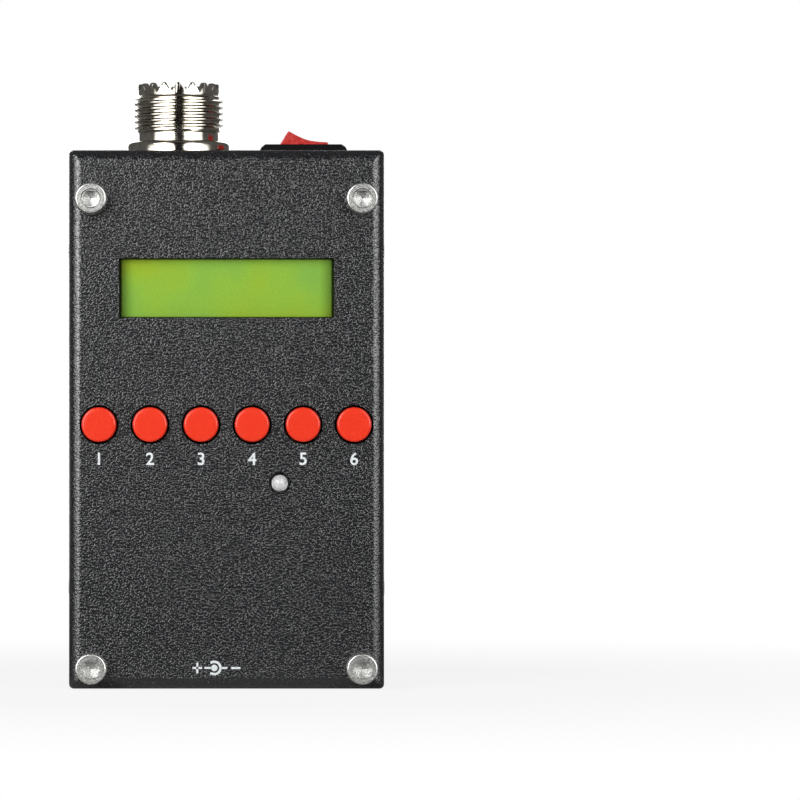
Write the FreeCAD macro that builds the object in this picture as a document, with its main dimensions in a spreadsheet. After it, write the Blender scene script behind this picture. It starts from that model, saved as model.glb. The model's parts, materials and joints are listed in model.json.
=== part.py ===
"""Handheld antenna analyzer: a folded steel case with an RF socket and a rocker switch on top, a display, six
push-buttons and a light in front, and the boards and the battery that they need inside.

The case stands upright. X runs to the right as seen from the front, Y runs from the front panel to the rear,
Z runs up, and the origin is the middle of the bottom wall's outer face. Lengths are in millimetres. A place
called a depth is measured back from the outer face of the front panel.
"""
import FreeCAD
import Part
import Sketcher
import os
import re

# ---------------------------------------------------------------------------------------------------- sizes

SIZES = {
    # Case: the shell is folded from one sheet, and the cover slides into it from behind
    "case_width": 55.0,
    "case_height": 94.0,
    "case_depth": 35.0,
    "sheet_metal": 1.0,
    "inner_bend": 0.8,
    "bend_stretch": 0.4,
    "corner_seam": 0.25,
    "corner_round": 0.8,
    "cover_gap": 0.3,
    "cover_recess": 0.5,
    "cover_flange": 10.0,
    "cover_notch": 19.0,
    # Clearances: the radial play of a shaft in its hole, and the air that keeps a part off its neighbour
    "running_play": 0.05,
    "free_air": 0.3,
    # M3 fasteners
    "thread_radius": 1.5,
    "screw_hole_radius": 1.7,
    "cap_head_radius": 2.75,
    "cap_head_height": 3.0,
    "hex_key_across": 2.5,
    "hex_key_depth": 1.5,
    "front_screw_length": 5.0,
    "front_screw_side_inset": 3.9,
    "front_screw_top_inset": 8.6,
    "front_screw_bottom_inset": 3.6,
    "spacer_across": 4.8,
    "spacer_length": 10.0,
    "spacer_chamfer": 0.6,
    "pan_head_radius": 2.6,
    "pan_head_top_radius": 2.0,
    "pan_head_height": 1.8,
    "board_screw_length": 4.5,
    "dome_head_radius": 2.7,
    "dome_head_edge": 0.27,
    "dome_head_top_radius": 1.6,
    "dome_head_top": 0.84,
    "dome_head_height": 0.9,
    "side_screw_length": 5.0,
    "side_screw_rear_inset": 6.0,
    "side_screw_end_inset": 16.8,
    # Display
    "window_width": 37.5,
    "window_height": 10.4,
    "window_top_inset": 24.1,
    "display_width": 46.0,
    "display_height": 17.5,
    "display_thickness": 6.2,
    "display_view_width": 38.5,
    "display_view_height": 11.6,
    "display_frame_wall": 0.5,
    "display_glass": 2.2,
    "display_board_side_air": 1.5,
    "display_board_height": 20.6,
    "header_pins": 16,
    "header_pitch": 2.54,
    # Buttons
    "button_count": 6,
    "button_side_inset": 5.275,
    "button_row_top_inset": 47.9,
    "button_radius": 3.15,
    "button_hole_radius": 3.4,
    "button_proud": 1.5,
    "button_cap_length": 6.0,
    "button_chamfer": 0.35,
    "button_socket_depth": 3.0,
    "button_travel": 0.3,
    "plunger_side": 2.6,
    "key_switch_side": 6.0,
    "key_switch_height": 3.2,
    "key_switch_well": 1.6,
    "key_cover_thickness": 0.3,
    "key_leg_width": 0.7,
    "key_leg_reach": 1.0,
    "key_leg_thickness": 0.25,
    # Light
    "led_across": 9.27,
    "led_top_inset": 58.1,
    "led_radius": 1.5,
    "led_rim_radius": 1.9,
    "led_rim": 1.0,
    "led_length": 5.3,
    "led_proud": 0.5,
    "led_hole_radius": 1.95,
    "led_lead_pitch": 2.54,
    "led_lead_side": 0.5,
    "lead_stub": 0.8,
    # RF socket
    "rf_side_inset": 19.0,
    "rf_flange_radius": 9.1,
    "rf_flange_height": 2.2,
    "rf_flange_round": 0.8,
    "rf_neck_radius": 7.1,
    "rf_neck_height": 2.0,
    "rf_thread_radius": 7.9375,
    "rf_thread_height": 6.4,
    "rf_thread_chamfer": 0.7,
    "rf_crown_radius": 7.2,
    "rf_crown_height": 1.9,
    "rf_crown_teeth": 17,
    "rf_tooth_depth": 1.7,
    "rf_tooth_land": 0.55,
    "rf_bore_radius": 5.9,
    "rf_insulator_recess": 2.0,
    "rf_stem_radius": 6.35,
    "rf_stem_length": 9.0,
    "rf_back_bore_radius": 3.6,
    "rf_contact_radius": 2.55,
    "rf_contact_bore_radius": 2.0,
    "rf_contact_bore_depth": 13.0,
    "rf_contact_slot": 0.4,
    "rf_contact_slot_depth": 8.0,
    "rf_cup_length": 6.0,
    "rf_cup_radius": 1.8,
    "rf_cup_bore_radius": 0.9,
    "rf_cup_bore_depth": 3.0,
    "rf_nut_across": 17.0,
    "rf_nut_height": 3.0,
    "rf_washer_radius": 8.6,
    "rf_washer_thickness": 0.8,
    "rf_lug_thickness": 0.5,
    "rf_lug_tab_width": 3.0,
    "rf_lug_tab_length": 5.5,
    # Rocker switch: heights are measured from the top wall's outer face, where the paddle's pivot lies too
    "rocker_across": 13.6,
    "bezel_length": 15.5,
    "bezel_width": 10.5,
    "bezel_height": 1.6,
    "bezel_rim": 0.5,
    "bezel_slope": 1.0,
    "bezel_shoulder_inset": 0.35,
    "bezel_shoulder_drop": 0.45,
    "rocker_body_length": 13.3,
    "rocker_body_width": 8.3,
    "rocker_body_height": 12.0,
    "rocker_floor": 1.6,
    "rocker_mouth_length": 9.6,
    "rocker_mouth_height": 0.8,
    "rocker_cavity_length": 11.0,
    "rocker_cavity_width": 7.0,
    "rocker_clip": 0.5,
    "rocker_clip_height": 4.0,
    "rocker_tilt": 16.0,
    "paddle_width": 6.7,
    "paddle_tip_length": 3.56,
    "paddle_tip_height": 3.18,
    "paddle_foot_length": 4.45,
    "paddle_foot_height": 0.45,
    "paddle_tip_bulge": 0.22,
    "paddle_tip_flat": 0.12,
    "paddle_tip_drop": 0.35,
    "paddle_dip_height": 2.57,
    "paddle_skirt_length": 4.2,
    "paddle_skirt_depth": 1.6,
    "paddle_nose_half": 1.4,
    "paddle_nose_depth": 4.6,
    "pivot_radius": 1.0,
    "pivot_reach": 0.45,
    "rocker_plunger_radius": 0.8,
    "rocker_plunger_tip": 6.3,
    "rocker_plunger_point": 0.3,
    "rocker_plunger_socket": 2.6,
    "contact_pivot_depth": 7.0,
    "contact_arm_thickness": 0.4,
    "contact_arm_half": 3.9,
    "contact_arm_width": 3.0,
    "contact_tilt": 10.0,
    "terminal_width": 2.8,
    "terminal_thickness": 0.8,
    "terminal_length": 5.0,
    "terminal_spacing": 4.2,
    # Main board and what is soldered to it
    "board_thickness": 1.6,
    "board_side_air": 0.6,
    "board_bottom_air": 0.4,
    "board_top_inset": 5.0,
    "board_notch_air": 1.7,
    "board_notch_top_inset": 11.5,
    "controller_side": 10.0,
    "controller_height": 1.4,
    "controller_across": -13.0,
    "controller_top_inset": 38.0,
    "synthesizer_width": 5.3,
    "synthesizer_length": 10.2,
    "synthesizer_height": 1.8,
    "synthesizer_across": 10.0,
    "synthesizer_top_inset": 34.0,
    "chip_leg_pitch": 1.27,
    "chip_leg_width": 0.4,
    "chip_leg_thickness": 0.2,
    "chip_leg_reach": 1.0,
    "crystal_length": 11.0,
    "crystal_width": 4.6,
    "crystal_height": 3.5,
    "crystal_across": -13.0,
    "crystal_top_inset": 54.0,
    "crystal_round": 1.8,
    "capacitor_radius": 2.5,
    "capacitor_height": 4.6,
    "capacitor_across": 20.0,
    "capacitor_top_inset": 60.0,
    "capacitor_spacing": 7.0,
    "core_radius": 4.0,
    "core_hole_radius": 1.9,
    "core_height": 3.0,
    "core_across": 4.0,
    "core_top_inset": 19.5,
    "smd_length": 2.0,
    "smd_width": 1.2,
    "smd_height": 0.7,
    "smd_pitch_across": 4.4,
    "smd_pitch_up": 3.2,
    "smd_columns": 4,
    "smd_rows": 3,
    "smd_across": -3.0,
    "smd_top_inset": 66.0,
    # DC jack
    "dc_across": -8.0,
    "dc_width": 9.0,
    "dc_height": 11.0,
    "dc_length": 14.2,
    "dc_axis_height": 6.5,
    "dc_bore_radius": 3.2,
    "dc_bore_depth": 10.0,
    "dc_pin_radius": 1.05,
    "dc_pin_length": 9.0,
    "dc_wall_hole_radius": 4.0,
    "dc_leaf_thickness": 0.3,
    "dc_leaf_width": 1.6,
    "dc_leaf_length": 7.0,
    "dc_leaf_inset": 0.22,
    # USB socket
    "usb_across": 15.0,
    "usb_width": 7.7,
    "usb_height": 3.9,
    "usb_length": 9.2,
    "usb_metal": 0.35,
    "usb_bevel": 0.9,
    "usb_tongue_width": 4.6,
    "usb_tongue_thickness": 0.9,
    "usb_tongue_length": 6.6,
    "usb_wall_air": 0.35,
    # Battery: three cells side by side in one sleeve
    "cell_radius": 7.1,
    "cell_length": 50.0,
    "cell_air": 0.05,
    "cell_cap_radius": 2.6,
    "cell_cap_height": 1.0,
    "wrap_thickness": 0.25,
    "pad_thickness": 1.3,
    "pad_width": 36.0,
    "pad_height": 42.0,
    # Flat leads inside: a bare strip from the RF socket, and ribbons from the switch and the battery
    "strip_width": 1.5,
    "strip_thickness": 0.4,
    "strip_drop": 3.6,
    "ribbon_thickness": 0.8,
    "ribbon_width": 2.4,
    "switch_ribbon_drop": 2.0,
    "battery_ribbon_rise": 2.4,
    "lead_bend": 0.5,
    "plug_width": 6.0,
    "plug_length": 6.0,
    "plug_height": 4.2,
    "plug_top_inset": 32.0,
}

BUTTONS = int(SIZES["button_count"])
DOME_ANGLES = (30, 60, 90)
PADDLE_CURVE_SHARES = (0.55, 0.2)

# Places and sizes that follow from the ones above
DERIVED = {
    "half_width": "case_width / 2",
    "inner_half_width": "half_width - sheet_metal",
    # The outside of a bend is stretched, so it comes out rounder than the inside
    "outer_bend": "inner_bend + sheet_metal + bend_stretch",
    "inner_top": "case_height - sheet_metal",
    "cover_half_width": "inner_half_width - cover_gap",
    "cover_low": "sheet_metal + cover_gap",
    "cover_high": "inner_top - cover_gap",
    "cover_rear": "case_depth - cover_recess",
    "cover_front": "cover_rear - sheet_metal",
    "side_screw_depth": "case_depth - side_screw_rear_inset",
    "front_screw_across": "half_width - front_screw_side_inset",
    "front_screw_high": "case_height - front_screw_top_inset",
    "spacer_front": "sheet_metal",
    "board_front": "spacer_front + spacer_length",
    "board_rear": "board_front + board_thickness",
    "board_half_width": "inner_half_width - board_side_air",
    "board_low": "sheet_metal + board_bottom_air",
    "board_high": "case_height - board_top_inset",
    "board_notch_low": "case_height - board_notch_top_inset",
    "window_up": "case_height - window_top_inset",
    "display_front": "sheet_metal + free_air",
    "display_board_front": "display_front + display_thickness",
    "display_board_rear": "display_board_front + board_thickness",
    "glass_front": "display_front + display_frame_wall",
    "display_board_half_width": "inner_half_width - display_board_side_air",
    "header_up": "window_up + display_board_height / 2 - header_pitch / 2",
    "button_pitch": "(case_width - button_side_inset * 2) / (button_count - 1)",
    "button_row_height": "case_height - button_row_top_inset",
    "key_top": "board_front - key_switch_height",
    "key_cover_front": "key_top - key_cover_thickness",
    "cap_rear": "button_cap_length - button_proud",
    "plunger_front": "cap_rear - button_socket_depth",
    "plunger_rear": "key_top + key_switch_well - button_travel - running_play * 2",
    "led_height": "case_height - led_top_inset",
    "led_rear": "led_length - led_proud",
    "rf_across": "rf_side_inset - half_width",
    "rf_neck_low": "rf_flange_height",
    "rf_thread_low": "rf_neck_low + rf_neck_height",
    "rf_thread_high": "rf_thread_low + rf_thread_height",
    "rf_top": "rf_thread_high + rf_crown_height",
    "rf_insulator_top": "rf_top - rf_insulator_recess",
    "rf_lug_top": "-sheet_metal",
    "rf_washer_top": "rf_lug_top - rf_lug_thickness",
    "rf_nut_top": "rf_washer_top - rf_washer_thickness",
    "rf_cup_low": "-rf_stem_length - rf_cup_length",
    "board_notch_half": "rf_nut_across / sqrt(3) + board_notch_air",
    "terminal_low": "case_height - rocker_body_height - terminal_length",
    "controller_up": "case_height - controller_top_inset",
    "synthesizer_up": "case_height - synthesizer_top_inset",
    "crystal_up": "case_height - crystal_top_inset",
    "capacitor_up": "case_height - capacitor_top_inset",
    "core_up": "case_height - core_top_inset",
    "smd_up": "case_height - smd_top_inset",
    "plug_up": "case_height - plug_top_inset",
    "terminal_right": "rocker_across + terminal_spacing + terminal_thickness / 2",
    "plug_across": "terminal_right + ribbon_width / 2 + free_air * 2",
    "mid_depth": "case_depth / 2",
    "dc_axis_depth": "board_rear + dc_axis_height",
    "usb_axis_depth": "board_rear + usb_height / 2",
    "socket_low": "sheet_metal + cover_gap",
    "pad_front": "cover_front - pad_thickness",
    "cell_depth": "pad_front - wrap_thickness - cell_radius - cell_air * 2",
    "cell_pitch": "cell_radius * 2 + cell_air",
    "battery_bottom": "(socket_low + dc_length + terminal_low - cell_length) / 2",
    "cell_shoulder": "battery_bottom + cell_length - cell_cap_height",
}

doc = FreeCAD.newDocument("AntennaAnalyzer")
sheet = doc.addObject("Spreadsheet::Sheet", "Sizes")
for row, (alias, size) in enumerate(SIZES.items(), start=1):
    sheet.set(f"A{row}", alias)
    sheet.set(f"B{row}", str(size))
    sheet.setAlias(f"B{row}", alias)
doc.recompute()

subparts = []


# --------------------------------------------------------------------------------------------------- helpers


def formula(text):
    """Write a formula out in the sheet's cells, with every derived size replaced by its own formula."""

    def written_out(word):
        name = word.group()
        if name in DERIVED:
            return "(" + formula(DERIVED[name]) + ")"
        return "Sizes." + name if name in SIZES else name

    return re.sub(r"[a-z]\w*", written_out, str(text))


def value(text):
    """What a formula comes to now."""
    return float(sheet.evalExpression(formula(text)))


def tie(thing, **formulas):
    """Bind properties of an object to formulas."""
    for name, text in formulas.items():
        thing.setExpression(name, formula(text))


def place(thing, across="0", depth="mid_depth", up="0", turn=None):
    """Put an object somewhere in the case, turned by an angle about an axis through its own origin."""
    thing.setExpression("Placement.Base.x", formula(across))
    thing.setExpression("Placement.Base.y", formula(f"({depth}) - mid_depth"))
    thing.setExpression("Placement.Base.z", formula(up))
    if turn:
        axis, angle = turn
        thing.setExpression("Placement.Rotation.Angle", formula(angle))
        for letter, part in zip("xyz", axis):
            thing.setExpression(f"Placement.Rotation.Axis.{letter}", str(part))
    return thing


X_AXIS = (1, 0, 0)
Y_AXIS = (0, 1, 0)
Z_AXIS = (0, 0, 1)
TO_THE_REAR = (X_AXIS, "-90")
TO_THE_FRONT = (X_AXIS, "90")


def keep(thing, label):
    """Name an object as one of the sub-parts that are written out."""
    thing.Label = label
    subparts.append(thing)
    return thing


def new_body(label):
    return doc.addObject("PartDesign::Body", label)


def sketch_on(body, role, lift="0"):
    """A new sketch on one of the body's own planes, lifted along the plane's normal."""
    sketch = body.newObject("Sketcher::SketchObject", "Sketch")
    plane = next(f for f in body.Origin.OriginFeatures if f.Role == role)
    sketch.AttachmentSupport = (plane, [""])
    sketch.MapMode = "FlatFace"
    sketch.setExpression("AttachmentOffset.Base.z", formula(lift))
    return sketch


def pin_point(sketch, edge, end, across, up):
    """Hold one point of a sketch at a place given by two formulas."""
    for kind, text in (("DistanceX", across), ("DistanceY", up)):
        index = sketch.addConstraint(Sketcher.Constraint(kind, -1, 1, edge, end, value(text)))
        sketch.setExpression(f"Constraints[{index}]", formula(text))


def outline(sketch, *points):
    """A closed outline of straight edges through points that are pairs of formulas."""
    spots = [FreeCAD.Vector(value(across), value(up), 0) for across, up in points]
    count = len(points)
    first = sketch.GeometryCount
    for index, spot in enumerate(spots):
        sketch.addGeometry(Part.LineSegment(spot, spots[(index + 1) % count]), False)
    for index in range(count):
        following = first + (index + 1) % count
        sketch.addConstraint(Sketcher.Constraint("Coincident", first + index, 2, following, 1))
    for index, (across, up) in enumerate(points):
        pin_point(sketch, first + index, 1, across, up)


def rectangle(sketch, left, right, low, high):
    outline(sketch, (left, low), (right, low), (right, high), (left, high))


def square(sketch, side, across="0", up="0"):
    """A square centred on a place."""
    half = f"({side}) / 2"
    rectangle(sketch, f"{across} - {half}", f"{across} + {half}", f"{up} - {half}", f"{up} + {half}")


def circle(sketch, radius, across="0", up="0"):
    centre = FreeCAD.Vector(value(across), value(up), 0)
    edge = sketch.addGeometry(Part.Circle(centre, FreeCAD.Vector(0, 0, 1), value(radius)), False)
    pin_point(sketch, edge, 3, across, up)
    index = sketch.addConstraint(Sketcher.Constraint("Radius", edge, value(radius)))
    sketch.setExpression(f"Constraints[{index}]", formula(radius))


def pad(body, sketch, length, back=False, both_ways=False):
    feature = body.newObject("PartDesign::Pad", "Pad")
    feature.Profile = sketch
    feature.Reversed = back
    feature.Midplane = both_ways
    tie(feature, Length=length)
    doc.recompute()
    return feature


def pocket(body, sketch, length, back=False, both_ways=False):
    """Cut a sketch's outline out of the body, and make sure that the cut has met the solid."""
    before = body.Shape.Volume
    feature = body.newObject("PartDesign::Pocket", "Pocket")
    feature.Profile = sketch
    feature.Reversed = back
    feature.Midplane = both_ways
    tie(feature, Length=length)
    doc.recompute()
    if not body.Shape.Volume < before:
        raise ValueError(f"a pocket in {body.Name} cuts nothing")
    return feature


def round_edges(body, radius, chosen):
    """Fillet the edges of the body's last feature for which chosen(edge) is true."""
    base = body.Tip
    names = [f"Edge{i}" for i, edge in enumerate(base.Shape.Edges, start=1) if chosen(edge)]
    feature = body.newObject("PartDesign::Fillet", "Fillet")
    feature.Base = (base, names)
    tie(feature, Radius=radius)
    doc.recompute()
    return feature


def bevel_edges(body, size, chosen):
    """Chamfer the edges of the body's last feature for which chosen(edge) is true."""
    base = body.Tip
    names = [f"Edge{i}" for i, edge in enumerate(base.Shape.Edges, start=1) if chosen(edge)]
    feature = body.newObject("PartDesign::Chamfer", "Chamfer")
    feature.Base = (base, names)
    tie(feature, Size=size)
    doc.recompute()
    return feature


def turned(label, *profile):
    """A body turned about its Z axis from an outline of (radius, height) pairs."""
    body = new_body(label)
    sketch = sketch_on(body, "XZ_Plane")
    outline(sketch, *profile)
    feature = body.newObject("PartDesign::Revolution", "Revolution")
    feature.Profile = sketch
    feature.ReferenceAxis = (sketch, ["V_Axis"])
    feature.Angle = 360
    doc.recompute()
    return body


def rod(label, radius, length):
    thing = doc.addObject("Part::Cylinder", label)
    tie(thing, Radius=radius, Height=length)
    return thing


def block(label, left, right, front, rear, low, high):
    """A plain box between six places in the case: across, in depth and up."""
    thing = doc.addObject("Part::Box", label)
    tie(thing, Length=f"({right}) - ({left})", Width=f"({rear}) - ({front})", Height=f"({high}) - ({low})")
    return place(thing, left, front, low)


def group(label, copies):
    """One sub-part made of several separate solids."""
    thing = doc.addObject("Part::Compound", label)
    thing.Links = copies
    return keep(thing, label)


def copy_of(master, across="0", depth="mid_depth", up="0", turn=None):
    link = doc.addObject("App::Link", master.Name + "_copy")
    link.LinkedObject = master
    return place(link, across, depth, up, turn)


def lies_at(edge, letter, where):
    """Whether a whole edge lies at one coordinate."""
    box = edge.BoundBox
    low = getattr(box, letter + "Min")
    high = getattr(box, letter + "Max")
    slack = 0.001
    return abs(low - where) < slack and abs(high - where) < slack


# ------------------------------------------------------------------------------------------------ case sheets


def folded_tray(label, half_width, low, high, front, rear, opening, outer_round, inner_round):
    """A tray folded from one sheet: a panel with a wall along each side, open in front or at the rear."""
    panel_lift = f"mid_depth - ({front})"
    rear_lift = f"mid_depth - ({rear})"
    body = new_body(label)
    outside = sketch_on(body, "XZ_Plane", panel_lift)
    rectangle(outside, f"-({half_width})", half_width, low, high)
    pad(body, outside, f"({rear}) - ({front})", back=True)
    panel_y = value(f"({front}) - mid_depth") if opening == "rear" else value(f"({rear}) - mid_depth")
    round_edges(body, outer_round, lambda edge: lies_at(edge, "Y", panel_y))
    inside = sketch_on(body, "XZ_Plane", rear_lift if opening == "rear" else panel_lift)
    rectangle(
        inside,
        f"-({half_width}) + sheet_metal",
        f"({half_width}) - sheet_metal",
        f"({low}) + sheet_metal",
        f"({high}) - sheet_metal",
    )
    pocket(body, inside, f"({rear}) - ({front}) - sheet_metal", back=opening == "rear")
    shift = value("sheet_metal") * (1 if opening == "rear" else -1)
    round_edges(body, inner_round, lambda edge: lies_at(edge, "Y", panel_y + shift))
    return body


def make_front_shell():
    body = folded_tray(
        "front_shell", "half_width", "0", "case_height", "0", "case_depth", "rear", "outer_bend", "inner_bend"
    )
    # The corners between the walls are ground round before they are painted
    sides = [value("half_width"), -value("half_width")]
    ends = [0, value("case_height")]
    round_edges(
        body,
        "corner_round",
        lambda edge: any(lies_at(edge, "X", x) for x in sides) and any(lies_at(edge, "Z", z) for z in ends),
    )
    # The folds meet at the corners along a thin seam, open from the rear edge to the bend
    seams = sketch_on(body, "XZ_Plane", "mid_depth - case_depth")
    for side in ("-", ""):
        ends = sorted((f"{side}inner_half_width", f"{side}(inner_half_width - corner_seam)"), key=value)
        rectangle(seams, *ends, "-free_air", "sheet_metal")
        rectangle(seams, *ends, "inner_top", "case_height + free_air")
    pocket(body, seams, "case_depth - outer_bend", back=True)
    # Front panel: window, buttons, light and screws
    front = sketch_on(body, "XZ_Plane", "mid_depth")
    rectangle(
        front,
        "-window_width / 2",
        "window_width / 2",
        "window_up - window_height / 2",
        "window_up + window_height / 2",
    )
    for number in range(BUTTONS):
        circle(front, "button_hole_radius", button_across(number), "button_row_height")
    circle(front, "led_hole_radius", "led_across", "led_height")
    for across, up in front_screw_spots():
        circle(front, "screw_hole_radius", across, up)
    pocket(body, front, "sheet_metal + free_air")
    # Top wall: the RF socket's stem and the rocker switch's body
    top = sketch_on(body, "XY_Plane", "case_height")
    circle(top, "rf_stem_radius + running_play * 2", "rf_across")
    rectangle(
        top,
        "rocker_across - rocker_body_length / 2 - running_play",
        "rocker_across + rocker_body_length / 2 + running_play",
        "-rocker_body_width / 2 - running_play",
        "rocker_body_width / 2 + running_play",
    )
    pocket(body, top, "sheet_metal + free_air")
    # Bottom wall: the DC plug and the USB plug
    bottom = sketch_on(body, "XY_Plane", "0")
    circle(bottom, "dc_wall_hole_radius", "dc_across", "dc_axis_depth - mid_depth")
    rectangle(
        bottom,
        "usb_across - usb_width / 2 - usb_wall_air",
        "usb_across + usb_width / 2 + usb_wall_air",
        "board_rear - usb_wall_air - mid_depth",
        "board_rear + usb_height + usb_wall_air - mid_depth",
    )
    pocket(body, bottom, "sheet_metal + free_air", back=True)
    # Side walls: two screws each
    sides = sketch_on(body, "YZ_Plane", "0")
    for up in ("side_screw_end_inset", "case_height - side_screw_end_inset"):
        circle(sides, "screw_hole_radius", "side_screw_depth - mid_depth", up)
    pocket(body, sides, "case_width * 2", both_ways=True)
    return keep(body, "front_shell")


def make_rear_cover():
    body = folded_tray(
        "rear_cover",
        "cover_half_width",
        "cover_low",
        "cover_high",
        "cover_rear - cover_flange",
        "cover_rear",
        "front",
        "outer_bend",
        "inner_bend",
    )
    # The top flange is cut away round the RF socket's nut, where the panel runs on flat to its full height
    notch = sketch_on(body, "XZ_Plane", "mid_depth - cover_rear")
    left = "rf_across - cover_notch / 2"
    right = "rf_across + cover_notch / 2"
    rectangle(notch, left, right, "cover_high - outer_bend", "cover_high + free_air")
    pocket(body, notch, "cover_flange", back=True)
    tongue = sketch_on(body, "XZ_Plane", "mid_depth - cover_rear")
    tongue_left = f"{left} + corner_seam"
    tongue_right = f"{right} - corner_seam"
    rectangle(tongue, tongue_left, tongue_right, "cover_high - outer_bend - sheet_metal", "cover_high")
    pad(body, tongue, "sheet_metal")
    # Each side flange is tapped for two screws
    sides = sketch_on(body, "YZ_Plane", "0")
    for up in ("side_screw_end_inset", "case_height - side_screw_end_inset"):
        circle(sides, "thread_radius + running_play", "side_screw_depth - mid_depth", up)
    pocket(body, sides, "case_width * 2", both_ways=True)
    return keep(body, "rear_cover")


# -------------------------------------------------------------------------------------------------- fasteners


def front_screw_spots():
    for side in ("-", ""):
        for up in ("front_screw_bottom_inset", "front_screw_high"):
            yield f"{side}front_screw_across", up


def socket_cap_screw():
    """The head stands on the panel's outer face at the origin, and the shank points down."""
    screw = turned(
        "socket_cap_screw",
        ("0", "-front_screw_length"),
        ("thread_radius", "-front_screw_length"),
        ("thread_radius", "0"),
        ("cap_head_radius", "0"),
        ("cap_head_radius", "cap_head_height"),
        ("0", "cap_head_height"),
    )
    key = sketch_on(screw, "XY_Plane", "cap_head_height")
    hexagon(key, "hex_key_across")
    pocket(screw, key, "hex_key_depth")
    return screw


def hexagon(sketch, across_flats, corners_across=False):
    """A hexagon round the origin, with its corners along the sketch's second axis or its first."""
    half = f"({across_flats}) / 2"
    corner = f"({across_flats}) / sqrt(3)"
    points = [
        (half, f"{corner} / 2"),
        ("0", corner),
        (f"-{half}", f"{corner} / 2"),
        (f"-{half}", f"-{corner} / 2"),
        ("0", f"-{corner}"),
        (half, f"-{corner} / 2"),
    ]
    if corners_across:
        points = [(up, across) for across, up in points]
    outline(sketch, *points)


def make_fasteners():
    cap_screw = socket_cap_screw()
    group("front_screws", [copy_of(cap_screw, x, "0", z, TO_THE_FRONT) for x, z in front_screw_spots()])

    # A hexagonal spacer stands in each corner, with its front end bevelled to clear the panel's bend
    spacer = new_body("spacer")
    section = sketch_on(spacer, "XY_Plane")
    hexagon(section, "spacer_across", corners_across=True)
    circle(section, "thread_radius + running_play")
    pad(spacer, section, "spacer_length")
    bore_radius = value("thread_radius + running_play")
    bevel_edges(
        spacer,
        "spacer_chamfer",
        lambda edge: lies_at(edge, "Z", 0) and edge.Length < bore_radius * 4,
    )
    spots = list(front_screw_spots())
    group("board_spacers", [copy_of(spacer, x, "spacer_front", z, TO_THE_REAR) for x, z in spots])

    board_screw = turned(
        "board_screw",
        ("0", "-board_screw_length"),
        ("thread_radius", "-board_screw_length"),
        ("thread_radius", "0"),
        ("pan_head_radius", "0"),
        ("pan_head_top_radius", "pan_head_height"),
        ("0", "pan_head_height"),
    )
    group("board_screws", [copy_of(board_screw, x, "board_rear", z, TO_THE_REAR) for x, z in spots])

    side_screw = turned(
        "side_screw",
        ("0", "-side_screw_length"),
        ("thread_radius", "-side_screw_length"),
        ("thread_radius", "0"),
        ("dome_head_radius", "0"),
        ("dome_head_radius", "dome_head_edge"),
        ("dome_head_top_radius", "dome_head_top"),
        ("0", "dome_head_height"),
    )
    copies = []
    for up in ("side_screw_end_inset", "case_height - side_screw_end_inset"):
        copies.append(copy_of(side_screw, "half_width", "side_screw_depth", up, (Y_AXIS, "90")))
        copies.append(copy_of(side_screw, "-half_width", "side_screw_depth", up, (Y_AXIS, "-90")))
    group("side_screws", copies)


# -------------------------------------------------------------------------------------------------- RF socket


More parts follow.
